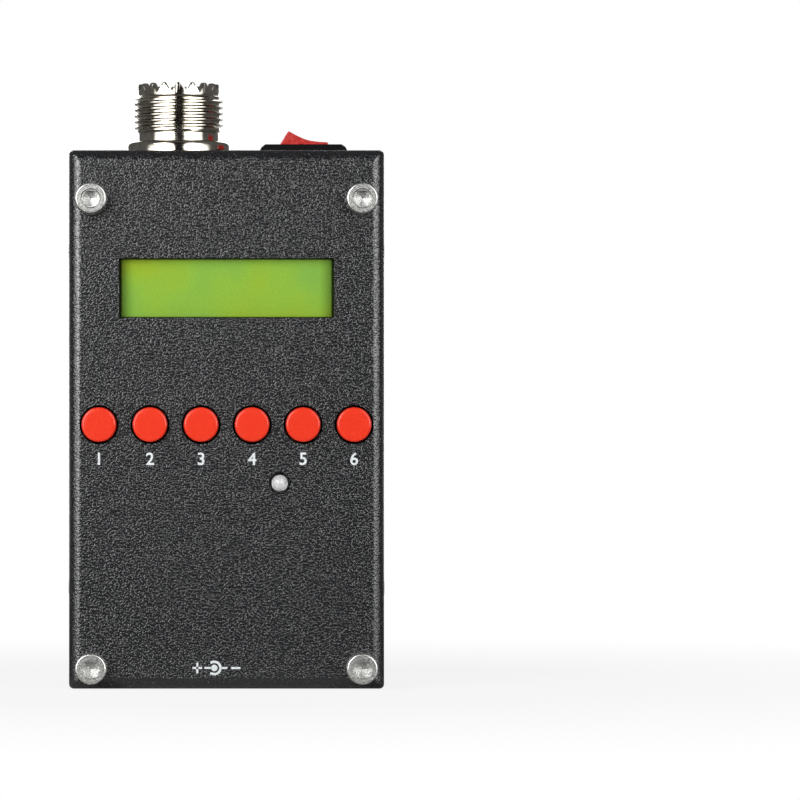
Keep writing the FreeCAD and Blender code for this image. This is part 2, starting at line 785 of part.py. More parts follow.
def make_rf_socket():
    """A UHF socket: a threaded barrel with a toothed crown, screwed to the top wall by its stem."""
    easing = "rf_flange_round * (1 - cos(45))"
    shell = turned(
        "rf_socket_shell",
        ("rf_back_bore_radius", "-rf_stem_length"),
        ("rf_stem_radius", "-rf_stem_length"),
        ("rf_stem_radius", "0"),
        ("rf_flange_radius", "0"),
        ("rf_flange_radius", "rf_flange_height - rf_flange_round"),
        (f"rf_flange_radius - {easing}", f"rf_flange_height - {easing}"),
        ("rf_flange_radius - rf_flange_round", "rf_flange_height"),
        ("rf_neck_radius", "rf_flange_height"),
        ("rf_neck_radius", "rf_thread_low"),
        ("rf_thread_radius - rf_thread_chamfer", "rf_thread_low"),
        ("rf_thread_radius", "rf_thread_low + rf_thread_chamfer"),
        ("rf_thread_radius", "rf_thread_high - rf_thread_chamfer"),
        ("rf_crown_radius", "rf_thread_high"),
        ("rf_crown_radius", "rf_top"),
        ("rf_bore_radius", "rf_top"),
        ("rf_bore_radius", "sheet_metal"),
        ("rf_back_bore_radius", "sheet_metal"),
    )
    # One notch between two teeth, repeated round the crown; a notch lies at the rear and a tooth in front
    notch = sketch_on(shell, "XZ_Plane", "-rf_bore_radius + sheet_metal")
    slope = "(pi * rf_crown_radius / rf_crown_teeth - rf_tooth_land / 2)"
    outline(
        notch,
        ("0", "rf_top - rf_tooth_depth"),
        (slope, "rf_top"),
        (slope, "rf_top + free_air"),
        (f"-{slope}", "rf_top + free_air"),
        (f"-{slope}", "rf_top"),
    )
    cut = pocket(shell, notch, "rf_crown_radius", back=False)
    teeth = shell.newObject("PartDesign::PolarPattern", "CrownNotches")
    teeth.Originals = [cut]
    teeth.Axis = (next(f for f in shell.Origin.OriginFeatures if f.Role == "Z_Axis"), [""])
    teeth.Angle = 360
    tie(teeth, Occurrences="rf_crown_teeth")
    shell.Tip = teeth
    doc.recompute()
    keep(place(shell, "rf_across", up="case_height"), "rf_socket_shell")

    insulator = turned(
        "rf_socket_insulator",
        ("rf_contact_radius", "-rf_stem_length"),
        ("rf_back_bore_radius", "-rf_stem_length"),
        ("rf_back_bore_radius", "sheet_metal"),
        ("rf_bore_radius", "sheet_metal"),
        ("rf_bore_radius", "rf_insulator_top"),
        ("rf_contact_radius", "rf_insulator_top"),
    )
    keep(place(insulator, "rf_across", up="case_height"), "rf_socket_insulator")

    contact = turned(
        "rf_socket_contact",
        ("0", "rf_cup_low + rf_cup_bore_depth"),
        ("rf_cup_bore_radius", "rf_cup_low + rf_cup_bore_depth"),
        ("rf_cup_bore_radius", "rf_cup_low"),
        ("rf_cup_radius", "rf_cup_low"),
        ("rf_cup_radius", "-rf_stem_length"),
        ("rf_contact_radius", "-rf_stem_length"),
        ("rf_contact_radius", "rf_insulator_top"),
        ("rf_contact_bore_radius", "rf_insulator_top"),
        ("rf_contact_bore_radius", "rf_insulator_top - rf_contact_bore_depth"),
        ("0", "rf_insulator_top - rf_contact_bore_depth"),
    )
    # Two crossed saw cuts part the contact's mouth into four springy fingers
    slots = sketch_on(contact, "XY_Plane", "rf_insulator_top")
    reach = "(rf_contact_radius + free_air)"
    half = "(rf_contact_slot / 2)"
    outline(
        slots,
        (reach, half),
        (half, half),
        (half, reach),
        (f"-{half}", reach),
        (f"-{half}", half),
        (f"-{reach}", half),
        (f"-{reach}", f"-{half}"),
        (f"-{half}", f"-{half}"),
        (f"-{half}", f"-{reach}"),
        (half, f"-{reach}"),
        (half, f"-{half}"),
        (reach, f"-{half}"),
    )
    pocket(contact, slots, "rf_contact_slot_depth")
    keep(place(contact, "rf_across", up="case_height"), "rf_socket_contact")

    nut = new_body("rf_socket_nut")
    flats = sketch_on(nut, "XY_Plane", "rf_nut_top")
    hexagon(flats, "rf_nut_across")
    circle(flats, "rf_stem_radius + running_play")
    pad(nut, flats, "rf_nut_height", back=True)
    keep(place(nut, "rf_across", up="case_height"), "rf_socket_nut")

    washer = new_body("rf_lock_washer")
    ring = sketch_on(washer, "XY_Plane", "rf_washer_top")
    circle(ring, "rf_washer_radius")
    circle(ring, "rf_stem_radius + running_play")
    pad(washer, ring, "rf_washer_thickness", back=True)
    keep(place(washer, "rf_across", up="case_height"), "rf_lock_washer")

    lug = new_body("rf_ground_lug")
    ring = sketch_on(lug, "XY_Plane", "rf_lug_top")
    circle(ring, "rf_washer_radius")
    circle(ring, "rf_stem_radius + running_play")
    pad(lug, ring, "rf_lug_thickness", back=True)
    tab = sketch_on(lug, "XY_Plane", "rf_lug_top")
    inner = "(rf_stem_radius + rf_washer_radius) / 2"
    outer = "rf_washer_radius + rf_lug_tab_length"
    rectangle(tab, inner, outer, "-rf_lug_tab_width / 2", "rf_lug_tab_width / 2")
    pad(lug, tab, "rf_lug_thickness", back=True)
    keep(place(lug, "rf_across", up="case_height", turn=(Z_AXIS, "215")), "rf_ground_lug")


# ---------------------------------------------------------------------------------------------- rocker switch


def make_rocker():
    """A two-position rocker that snaps into the top wall, its length along X."""
    housing = new_body("rocker_housing")
    bezel = sketch_on(housing, "XZ_Plane")
    outline(
        bezel,
        ("-bezel_length / 2", "0"),
        ("bezel_length / 2", "0"),
        ("bezel_length / 2", "bezel_rim"),
        ("bezel_length / 2 - bezel_shoulder_inset", "bezel_height - bezel_shoulder_drop"),
        ("bezel_length / 2 - bezel_slope", "bezel_height"),
        ("-bezel_length / 2 + bezel_slope", "bezel_height"),
        ("-bezel_length / 2 + bezel_shoulder_inset", "bezel_height - bezel_shoulder_drop"),
        ("-bezel_length / 2", "bezel_rim"),
    )
    pad(housing, bezel, "bezel_width", both_ways=True)
    lower = sketch_on(housing, "XY_Plane")
    rectangle(
        lower,
        "-rocker_body_length / 2",
        "rocker_body_length / 2",
        "-rocker_body_width / 2",
        "rocker_body_width / 2",
    )
    pad(housing, lower, "rocker_body_height", back=True)
    # A sprung barb at each end grips the wall's underside
    barbs = sketch_on(housing, "XZ_Plane")
    for side in ("", "-"):
        outline(
            barbs,
            (f"{side}(rocker_body_length / 2 - free_air)", "-sheet_metal - running_play"),
            (f"{side}(rocker_body_length / 2 + rocker_clip)", "-sheet_metal - running_play"),
            (f"{side}(rocker_body_length / 2)", "-sheet_metal - rocker_clip_height"),
            (f"{side}(rocker_body_length / 2 - free_air)", "-sheet_metal - rocker_clip_height"),
        )
    pad(housing, barbs, "terminal_width", both_ways=True)
    mouth = sketch_on(housing, "XY_Plane", "bezel_height")
    rectangle(
        mouth,
        "-rocker_mouth_length / 2",
        "rocker_mouth_length / 2",
        "-rocker_cavity_width / 2",
        "rocker_cavity_width / 2",
    )
    pocket(housing, mouth, "bezel_height + rocker_body_height - rocker_floor")
    hollow = sketch_on(housing, "XY_Plane", "bezel_height - rocker_mouth_height")
    rectangle(
        hollow,
        "-rocker_cavity_length / 2",
        "rocker_cavity_length / 2",
        "-rocker_cavity_width / 2",
        "rocker_cavity_width / 2",
    )
    pocket(housing, hollow, "bezel_height - rocker_mouth_height + rocker_body_height - rocker_floor")
    bearings = sketch_on(housing, "XZ_Plane")
    circle(bearings, "pivot_radius + running_play")
    pocket(housing, bearings, "rocker_cavity_width + pivot_reach * 2", both_ways=True)
    slots = sketch_on(housing, "XY_Plane", "-rocker_body_height")
    for across in ("0", "terminal_spacing"):
        rectangle(
            slots,
            f"{across} - terminal_thickness / 2 - running_play",
            f"{across} + terminal_thickness / 2 + running_play",
            "-terminal_width / 2 - running_play",
            "terminal_width / 2 + running_play",
        )
    pocket(housing, slots, "rocker_floor + free_air", back=True)
    keep(place(housing, "rocker_across", up="case_height"), "rocker_housing")

    paddle = new_body("rocker_paddle")
    side_view = sketch_on(paddle, "XZ_Plane")
    right_half = [
        ("paddle_nose_half", "-paddle_nose_depth"),
        ("paddle_nose_half", "-paddle_skirt_depth"),
        ("paddle_skirt_length", "-paddle_skirt_depth"),
        ("paddle_foot_length", "paddle_foot_height"),
        ("paddle_tip_length + paddle_tip_bulge", "paddle_tip_height - paddle_tip_drop"),
        ("paddle_tip_length - paddle_tip_flat", "paddle_tip_height"),
    ]
    # The finger's hollow is a shallow parabola between the two tips
    for share in PADDLE_CURVE_SHARES:
        rise = f"(paddle_tip_height - paddle_dip_height) * {share} ^ 2"
        right_half.append((f"paddle_tip_length * {share}", f"paddle_dip_height + {rise}"))
    left_half = [(f"-({across})", up) for across, up in reversed(right_half)]
    outline(side_view, *right_half, *left_half)
    pad(paddle, side_view, "paddle_width", both_ways=True)
    pivot = sketch_on(paddle, "XZ_Plane")
    circle(pivot, "pivot_radius")
    pad(paddle, pivot, "rocker_cavity_width + pivot_reach * 2 - running_play * 2", both_ways=True)
    socket = sketch_on(paddle, "XY_Plane", "-paddle_nose_depth")
    circle(socket, "rocker_plunger_radius + running_play")
    pocket(paddle, socket, "rocker_plunger_socket", back=True)
    tilt = (Y_AXIS, "rocker_tilt")
    keep(place(paddle, "rocker_across", up="case_height", turn=tilt), "rocker_paddle")

    plunger = turned(
        "rocker_plunger",
        ("0", "-rocker_plunger_tip"),
        ("rocker_plunger_radius - rocker_plunger_point", "-rocker_plunger_tip"),
        ("rocker_plunger_radius", "-rocker_plunger_tip + rocker_plunger_point"),
        ("rocker_plunger_radius", "-paddle_nose_depth + rocker_plunger_socket"),
        ("0", "-paddle_nose_depth + rocker_plunger_socket"),
    )
    keep(place(plunger, "rocker_across", up="case_height", turn=tilt), "rocker_plunger")

    # The arm is a see-saw: the centre terminal carries it, and one end meets the other terminal
    arm = new_body("rocker_contact_arm")
    strip = sketch_on(arm, "XZ_Plane")
    rectangle(strip, "-contact_arm_half", "contact_arm_half", "0", "contact_arm_thickness")
    pad(arm, strip, "contact_arm_width", both_ways=True)
    pivot_up = "case_height - contact_pivot_depth"
    keep(place(arm, "rocker_across", up=pivot_up, turn=(Y_AXIS, "-contact_tilt")), "rocker_contact_arm")

    blades = []
    for across, drop in (
        ("0", "terminal_thickness / 2 * tan(contact_tilt)"),
        ("terminal_spacing", "terminal_spacing * tan(contact_tilt) + free_air"),
    ):
        high = f"case_height - contact_pivot_depth - running_play - ({drop})"
        blades.append(
            block(
                "terminal",
                f"rocker_across + {across} - terminal_thickness / 2",
                f"rocker_across + {across} + terminal_thickness / 2",
                "mid_depth - terminal_width / 2",
                "mid_depth + terminal_width / 2",
                "terminal_low",
                high,
            )
        )
    group("rocker_terminals", blades)


# --------------------------------------------------------------------------------------------------- controls


def button_across(number):
    return f"button_pitch * {number - (BUTTONS - 1) / 2}"


def make_buttons():
    """Six round caps, each pressed on the plunger of a key switch on the main board."""
    for number in range(BUTTONS):
        across = button_across(number)
        cap = turned(
            f"button_cap_{number + 1}",
            ("0", "button_cap_length"),
            ("button_radius", "button_cap_length"),
            ("button_radius", "button_chamfer"),
            ("button_radius - button_chamfer", "0"),
            ("0", "0"),
        )
        socket = sketch_on(cap, "XY_Plane", "button_cap_length")
        square(socket, "plunger_side + running_play * 2")
        pocket(cap, socket, "button_socket_depth")
        keep(place(cap, across, "-button_proud", "button_row_height", TO_THE_REAR), cap.Name)
        half = "plunger_side / 2"
        plunger = block(
            f"button_plunger_{number + 1}",
            f"{across} - {half}",
            f"{across} + {half}",
            "plunger_front",
            "plunger_rear",
            f"button_row_height - {half}",
            f"button_row_height + {half}",
        )
        keep(plunger, plunger.Name)

    base = new_body("key_switch_base")
    plan = sketch_on(base, "XY_Plane")
    square(plan, "key_switch_side")
    pad(base, plan, "key_switch_height")
    well = sketch_on(base, "XY_Plane")
    square(well, "plunger_side + running_play * 4")
    pocket(base, well, "key_switch_well", back=True)
    spots = [button_across(number) for number in range(BUTTONS)]
    bases = [copy_of(base, across, "key_top", "button_row_height", TO_THE_REAR) for across in spots]
    group("key_switch_bases", bases)

    cover = new_body("key_switch_cover")
    plan = sketch_on(cover, "XY_Plane")
    square(plan, "key_switch_side")
    square(plan, "plunger_side + running_play * 4")
    pad(cover, plan, "key_cover_thickness")
    covers = [copy_of(cover, across, "key_cover_front", "button_row_height", TO_THE_REAR) for across in spots]
    group("key_switch_covers", covers)

    legs = []
    for across in spots:
        for side, rise in ((-1, -1), (-1, 1), (1, -1), (1, 1)):
            centre = f"{across} + {side} * key_switch_side / 4"
            edge = "key_switch_side / 2" if rise > 0 else "-key_switch_side / 2 - key_leg_reach"
            legs.append(
                block(
                    "key_switch_leg",
                    f"{centre} - key_leg_width / 2",
                    f"{centre} + key_leg_width / 2",
                    "board_front - key_leg_thickness",
                    "board_front",
                    f"button_row_height + {edge}",
                    f"button_row_height + {edge} + key_leg_reach",
                )
            )
    group("key_switch_legs", legs)


def make_light():
    dome = [(f"led_radius * sin({angle})", f"led_radius * (1 - cos({angle}))") for angle in DOME_ANGLES]
    light = turned(
        "charge_led",
        ("0", "0"),
        *dome,
        ("led_radius", "led_length - led_rim"),
        ("led_rim_radius", "led_length - led_rim"),
        ("led_rim_radius", "led_length"),
        ("0", "led_length"),
    )
    keep(place(light, "led_across", "-led_proud", "led_height", TO_THE_REAR), "charge_led")
    leads = []
    half = "led_lead_side / 2"
    for side in ("-", "+"):
        centre = f"led_across {side} led_lead_pitch / 2"
        leads.append(
            block(
                "led_lead",
                f"{centre} - {half}",
                f"{centre} + {half}",
                "led_rear",
                "board_rear + lead_stub",
                f"led_height - {half}",
                f"led_height + {half}",
            )
        )
    group("led_leads", leads)


# ---------------------------------------------------------------------------------------------------- display


def make_display():
    frame = new_body("lcd_frame")
    front = sketch_on(frame, "XZ_Plane", "mid_depth - display_front")
    half_width = "display_width / 2"
    low = "window_up - display_height / 2"
    high = "window_up + display_height / 2"
    rectangle(front, f"-{half_width}", half_width, low, high)
    pad(frame, front, "display_thickness", back=True)
    inside = sketch_on(frame, "XZ_Plane", "mid_depth - display_board_front")
    wall = "display_frame_wall"
    sides = (f"-{half_width} + {wall}", f"{half_width} - {wall}")
    rectangle(inside, *sides, f"{low} + {wall}", f"{high} - {wall}")
    pocket(frame, inside, "display_thickness - display_frame_wall", back=True)
    view = sketch_on(frame, "XZ_Plane", "mid_depth - display_front")
    rectangle(
        view,
        "-display_view_width / 2",
        "display_view_width / 2",
        "window_up - display_view_height / 2",
        "window_up + display_view_height / 2",
    )
    pocket(frame, view, "display_frame_wall + running_play")
    keep(frame, "lcd_frame")

    inner = "(display_frame_wall + running_play)"
    sides = (f"-{half_width} + {inner}", f"{half_width} - {inner}")
    ends = (f"{low} + {inner}", f"{high} - {inner}")
    keep(block("lcd_glass", *sides, "glass_front", "glass_front + display_glass", *ends), "lcd_glass")
    keep(
        block("lcd_backlight", *sides, "glass_front + display_glass", "display_board_front", *ends),
        "lcd_backlight",
    )
    keep(
        block(
            "lcd_board",
            "-display_board_half_width",
            "display_board_half_width",
            "display_board_front",
            "display_board_rear",
            "window_up - display_board_height / 2",
            "window_up + display_board_height / 2",
        ),
        "lcd_board",
    )
    keep(
        block(
            "lcd_header",
            "-header_pins * header_pitch / 2",
            "header_pins * header_pitch / 2",
            "display_board_rear",
            "board_front",
            "header_up - header_pitch / 2",
            "header_up + header_pitch / 2",
        ),
        "lcd_header",
    )


# ------------------------------------------------------------------------------------------------- main board


def make_main_board():
    board = new_body("main_board")
    plate = sketch_on(board, "XZ_Plane", "mid_depth - board_front")
    notch_left = "rf_across - board_notch_half"
    notch_right = "rf_across + board_notch_half"
    outline(
        plate,
        ("-board_half_width", "board_low"),
        ("board_half_width", "board_low"),
        ("board_half_width", "board_high"),
        (notch_right, "board_high"),
        (notch_right, "board_notch_low"),
        (notch_left, "board_notch_low"),
        (notch_left, "board_high"),
        ("-board_half_width", "board_high"),
    )
    pad(board, plate, "board_thickness", back=True)
    holes = sketch_on(board, "XZ_Plane", "mid_depth - board_front")
    for across, up in front_screw_spots():
        circle(holes, "thread_radius + running_play", across, up)
    for side in ("-", "+"):
        centre = f"led_across {side} led_lead_pitch / 2"
        square(holes, "led_lead_side + running_play * 2", centre, "led_height")
    pocket(board, holes, "board_thickness + free_air")
    return keep(board, "main_board")


def on_board(label, across, up, width, length, height):
    """A plain component on the rear of the main board, centred at a place."""
    return block(
        label,
        f"{across} - ({width}) / 2",
        f"{across} + ({width}) / 2",
        "board_rear",
        f"board_rear + {height}",
        f"{up} - ({length}) / 2",
        f"{up} + ({length}) / 2",
    )


def make_components():
    keep(
        on_board(
            "controller_chip",
            "controller_across",
            "controller_up",
            "controller_side",
            "controller_side",
            "controller_height",
        ),
        "controller_chip",
    )
    keep(
        on_board(
            "synthesizer_chip",
            "synthesizer_across",
            "synthesizer_up",
            "synthesizer_width",
            "synthesizer_length",
            "synthesizer_height",
        ),
        "synthesizer_chip",
    )
    legs = []
    for across, up, width in (
        ("controller_across", "controller_up", "controller_side"),
        ("synthesizer_across", "synthesizer_up", "synthesizer_width"),
    ):
        for side in (-1, 1):
            for step in (-3, -2, -1, 0, 1, 2, 3):
                legs.append(
                    on_board(
                        "chip_leg",
                        f"{across} + {side} * ({width} + chip_leg_reach) / 2",
                        f"{up} + {step} * chip_leg_pitch",
                        "chip_leg_reach",
                        "chip_leg_width",
                        "chip_leg_thickness",
                    )
                )
    group("chip_legs", legs)

    can = new_body("crystal_can")
    shape = sketch_on(can, "XZ_Plane", "mid_depth - board_rear")
    rectangle(
        shape,
        "crystal_across - crystal_length / 2",
        "crystal_across + crystal_length / 2",
        "crystal_up - crystal_width / 2",
        "crystal_up + crystal_width / 2",
    )
    pad(can, shape, "crystal_height", back=True)
    board_y = value("board_rear - mid_depth")
    top_y = value("board_rear + crystal_height - mid_depth")
    round_edges(
        can,
        "crystal_round",
        lambda edge: not lies_at(edge, "Y", board_y) and not lies_at(edge, "Y", top_y),
    )
    keep(can, "crystal_can")

    cans = []
    for step in (0, 1):
        can = rod("capacitor", "capacitor_radius", "capacitor_height")
        cans.append(
            place(
                can,
                "capacitor_across",
                "board_rear",
                f"capacitor_up + {step} * capacitor_spacing",
                TO_THE_REAR,
            )
        )
    group("filter_capacitors", cans)

    core = new_body("bridge_core")
    ring = sketch_on(core, "XZ_Plane", "mid_depth - board_rear")
    circle(ring, "core_radius", "core_across", "core_up")
    circle(ring, "core_hole_radius", "core_across", "core_up")
    pad(core, ring, "core_height", back=True)
    keep(core, "bridge_core")

    chips = []
    for column in range(int(SIZES["smd_columns"])):
        for row in range(int(SIZES["smd_rows"])):
            chips.append(
                on_board(
                    "chip_part",
                    f"smd_across + {column} * smd_pitch_across",
                    f"smd_up + {row} * smd_pitch_up",
                    "smd_length",
                    "smd_width",
                    "smd_height",
                )
            )
    group("smd_parts", chips)


# ------------------------------------------------------------------------------------------------ connectors


def make_dc_jack():
    jack = new_body("dc_jack_body")
    base = sketch_on(jack, "XY_Plane", "socket_low")
    left = "dc_across - dc_width / 2"
    right = "dc_across + dc_width / 2"
    rectangle(base, left, right, "board_rear - mid_depth", "board_rear + dc_height - mid_depth")
    pad(jack, base, "dc_length")
    bore = sketch_on(jack, "XY_Plane", "socket_low")
    circle(bore, "dc_bore_radius", "dc_across", "dc_axis_depth - mid_depth")
    pocket(jack, bore, "dc_bore_depth", back=True)
    keep(jack, "dc_jack_body")

    pin = rod("dc_jack_pin", "dc_pin_radius", "dc_pin_length")
    pin_low = "socket_low + dc_bore_depth - dc_pin_length"
    keep(place(pin, "dc_across", "dc_axis_depth", pin_low), "dc_jack_pin")
    keep(
        block(
            "dc_jack_leaf",
            "dc_across - dc_leaf_width / 2",
            "dc_across + dc_leaf_width / 2",
            "dc_axis_depth + dc_bore_radius - dc_leaf_inset - dc_leaf_thickness",
            "dc_axis_depth + dc_bore_radius - dc_leaf_inset",
            "socket_low + dc_bore_depth - dc_leaf_length",
            "socket_low + dc_bore_depth",
        ),
        "dc_jack_leaf",
    )


def make_usb_socket():
    """A mini USB socket: a drawn steel shell with two bevelled edges, and a plastic tongue inside."""
    front = "board_rear - mid_depth"
    rear = "board_rear + usb_height - mid_depth"

    def shell_outline(sketch, inset):
        left = f"usb_across - usb_width / 2 + {inset}"
        right = f"usb_across + usb_width / 2 - {inset}"
        outline(
            sketch,
            (left, f"{rear} - {inset}"),
            (left, f"{front} + usb_bevel + {inset}"),
            (f"{left} + usb_bevel", f"{front} + {inset}"),
            (f"{right} - usb_bevel", f"{front} + {inset}"),
            (right, f"{front} + usb_bevel + {inset}"),
            (right, f"{rear} - {inset}"),
        )

    shell = new_body("usb_shell")
    outside = sketch_on(shell, "XY_Plane", "socket_low")
    shell_outline(outside, "0")
    pad(shell, outside, "usb_length")
    inside = sketch_on(shell, "XY_Plane", "socket_low")
    shell_outline(inside, "usb_metal")
    pocket(shell, inside, "usb_length - usb_metal", back=True)
    keep(shell, "usb_shell")
    keep(
        block(
            "usb_tongue",
            "usb_across - usb_tongue_width / 2",
            "usb_across + usb_tongue_width / 2",
            "usb_axis_depth - usb_tongue_thickness / 2",
            "usb_axis_depth + usb_tongue_thickness / 2",
            "socket_low + usb_length - usb_metal - usb_tongue_length",
            "socket_low + usb_length - usb_metal",
        ),
        "usb_tongue",
    )


# --------------------------------------------------------------------------------------------------- battery


def make_battery():
    cell = turned(
        "battery_cell",
        ("0", "0"),
        ("cell_radius", "0"),
        ("cell_radius", "cell_length - cell_cap_height"),
        ("cell_cap_radius", "cell_length - cell_cap_height"),
        ("cell_cap_radius", "cell_length"),
        ("0", "cell_length"),
    )
    copies = [copy_of(cell, f"{step} * cell_pitch", "cell_depth", "battery_bottom") for step in (-1, 0, 1)]
    group("battery_cells", copies)

    # One shrunk sleeve runs round all three cells
    wrap = new_body("battery_wrap")
    inner = "(cell_radius + cell_air)"
    for radius, is_outside in ((f"{inner} + wrap_thickness", True), (inner, False)):
        section = sketch_on(wrap, "XY_Plane", "battery_bottom")
        racetrack(section, "cell_pitch", radius, "cell_depth - mid_depth")
        if is_outside:
            pad(wrap, section, "cell_length - cell_cap_height * 2")
        else:
            pocket(wrap, section, "cell_length", back=True)
    keep(wrap, "battery_wrap")

    keep(
        block(
            "battery_pad",
            "-pad_width / 2",
            "pad_width / 2",
            "pad_front",
            "cover_front",
            "battery_bottom + cell_length / 2 - pad_height / 2",
            "battery_bottom + cell_length / 2 + pad_height / 2",
        ),
        "battery_pad",
    )


def racetrack(sketch, reach, radius, up):
    """Two straight edges joined by half circles whose centres lie reach to each side of the middle."""
    end = value(reach)
    round_radius = value(radius)
    level = value(up)
    low = FreeCAD.Vector(end, level - round_radius, 0)
    high = FreeCAD.Vector(end, level + round_radius, 0)
    corners = [FreeCAD.Vector(-end, low.y, 0), low, high, FreeCAD.Vector(-end, high.y, 0)]
    first = sketch.GeometryCount
    right_tip = FreeCAD.Vector(end + round_radius, level, 0)
    left_tip = FreeCAD.Vector(-end - round_radius, level, 0)
    sketch.addGeometry(Part.LineSegment(corners[0], corners[1]), False)
    sketch.addGeometry(Part.Arc(corners[1], right_tip, corners[2]), False)
    sketch.addGeometry(Part.LineSegment(corners[2], corners[3]), False)
    sketch.addGeometry(Part.Arc(corners[3], left_tip, corners[0]), False)
    for index in range(4):
        following = first + (index + 1) % 4
        sketch.addConstraint(Sketcher.Constraint("Tangent", first + index, 2, following, 1))
    for arc, across in ((first + 1, reach), (first + 3, f"-({reach})")):
        pin_point(sketch, arc, 3, across, up)
        index = sketch.addConstraint(Sketcher.Constraint("Radius", arc, round_radius))
        sketch.setExpression(f"Constraints[{index}]", formula(radius))


# ----------------------------------------------------------------------------------------------------- leads


def bent_lead(label, across, width, thickness, side_view):
    """A flat lead, made from its side view and its width, with its bends rounded.

    The side view is (depth, height, mark) for each corner. The mark is outer or inner at a bend, and end at
    one of the lead's ends.
    """
    body = new_body(label)
    side = sketch_on(body, "YZ_Plane", across)
    corners = [(f"({depth}) - mid_depth", up, mark) for depth, up, mark in side_view]
    outline(side, *[(depth, up) for depth, up, _ in corners])
    pad(body, side, width, both_ways=True)
    for bend, radius in (("outer", f"lead_bend + {thickness}"), ("inner", "lead_bend")):
        spots = [(value(depth), value(up)) for depth, up, mark in corners if mark == bend]
        round_edges(
            body,
            radius,
            lambda edge: any(lies_at(edge, "Y", y) and lies_at(edge, "Z", z) for y, z in spots),
        )
    return keep(body, label)


def hanging_lead(label, across, width, thickness, top, drop):
    """A flat lead that hangs from a point in the middle of the case and bends forward to the main board."""
    near = f"mid_depth - {thickness} / 2"
    far = f"mid_depth + {thickness} / 2"
    low = f"{top} - ({drop})"
    side_view = (
        (near, top, "end"),
        (near, f"{low} + {thickness}", "inner"),
        ("board_rear", f"{low} + {thickness}", "end"),
        ("board_rear", low, "end"),
        (far, low, "outer"),
        (far, top, "end"),
    )
    return bent_lead(label, across, width, thickness, side_view)


def make_leads():
    hanging_lead(
        "rf_lead",
        "rf_across",
        "strip_width",
        "strip_thickness",
        "case_height + rf_cup_low + rf_cup_bore_depth",
        "rf_cup_bore_depth + strip_drop",
    )
    hanging_lead(
        "switch_leads",
        "rocker_across + terminal_spacing / 2",
        "terminal_spacing + terminal_thickness",
        "ribbon_thickness",
        "terminal_low",
        "switch_ribbon_drop",
    )
    keep(
        on_board("battery_plug", "plug_across", "plug_up", "plug_width", "plug_length", "plug_height"),
        "battery_plug",
    )
    # The battery's ribbon leaves the plug upwards, crosses the pack's end and comes down on a cell
    half = "ribbon_thickness / 2"
    plug_depth = "(board_rear + plug_height / 2)"
    high = "(cell_shoulder + battery_ribbon_rise)"
    side_view = (
        (f"{plug_depth} - {half}", "plug_up + plug_length / 2", "end"),
        (f"{plug_depth} - {half}", f"{high} + ribbon_thickness", "outer"),
        (f"cell_depth + {half}", f"{high} + ribbon_thickness", "outer"),
        (f"cell_depth + {half}", "cell_shoulder", "end"),
        (f"cell_depth - {half}", "cell_shoulder", "end"),
        (f"cell_depth - {half}", high, "inner"),
        (f"{plug_depth} + {half}", high, "inner"),
        (f"{plug_depth} + {half}", "plug_up + plug_length / 2", "end"),
    )
    bent_lead("battery_leads", "plug_across", "ribbon_width", "ribbon_thickness", side_view)


# ------------------------------------------------------------------------------------------- build and export


def check_and_write():
    """Make sure that every object has built, then write one file for each sub-part."""
    doc.recompute()
    for thing in doc.Objects:
        if "Invalid" in thing.State or "Error" in thing.State:
            raise ValueError(f"{thing.Label} has failed: {thing.State}")
    for thing in subparts:
        if thing.Shape.isNull() or not thing.Shape.isValid() or not thing.Shape.Solids:
            raise ValueError(f"{thing.Label} has no valid shape")
    os.makedirs("parts", exist_ok=True)
    for thing in subparts:
        thing.Shape.exportStep(f"parts/{thing.Label}.step")
    print(len(subparts), "sub-parts")


make_front_shell()
make_rear_cover()
make_fasteners()
make_rf_socket()
make_rocker()
make_buttons()
make_light()
make_display()
make_main_board()
make_components()
make_dc_jack()
make_usb_socket()
make_battery()
make_leads()
check_and_write()
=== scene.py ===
"""The looks of an antenna analyzer in a folded steel case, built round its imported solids."""

import json
import math

import bmesh
import bpy
from bpy.props import FloatProperty, FloatVectorProperty, IntProperty, PointerProperty
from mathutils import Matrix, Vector


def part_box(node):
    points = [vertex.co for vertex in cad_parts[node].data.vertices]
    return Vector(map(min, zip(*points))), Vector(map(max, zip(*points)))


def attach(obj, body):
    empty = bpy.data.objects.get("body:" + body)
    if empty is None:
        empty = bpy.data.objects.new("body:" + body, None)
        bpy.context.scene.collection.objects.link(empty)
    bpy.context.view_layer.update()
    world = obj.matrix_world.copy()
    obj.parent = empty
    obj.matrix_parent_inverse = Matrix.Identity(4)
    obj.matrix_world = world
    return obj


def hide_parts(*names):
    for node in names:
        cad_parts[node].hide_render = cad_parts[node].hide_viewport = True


bl_info = {
    "name": "Antenna analyzer",
    "version": (1, 0, 0),
    "blender": (4, 5, 0),
    "location": "3D View > Sidebar > Analyzer",
    "description": "Builds the visible pieces of an antenna analyzer, their finishes and a plain studio",
    "category": "Object",
}

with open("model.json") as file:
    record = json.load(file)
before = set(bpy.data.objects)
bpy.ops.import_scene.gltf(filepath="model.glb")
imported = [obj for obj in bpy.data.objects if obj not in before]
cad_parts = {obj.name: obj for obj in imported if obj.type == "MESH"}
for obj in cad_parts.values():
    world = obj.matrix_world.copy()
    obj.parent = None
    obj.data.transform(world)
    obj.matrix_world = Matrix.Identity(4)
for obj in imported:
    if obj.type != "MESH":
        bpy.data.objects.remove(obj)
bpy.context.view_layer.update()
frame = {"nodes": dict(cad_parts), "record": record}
NODES = frame["nodes"]
MM = 0.001
BUTTONS = range(1, 7)

# How close two places are that count as one
TOUCH = 0.001 * MM

FRONT = Vector((0, -1, 0))
UP = Vector((0, 0, 1))

# Turns a primitive's axis from upright to along the depth of the case
ALONG_DEPTH = (math.radians(90), 0, 0)

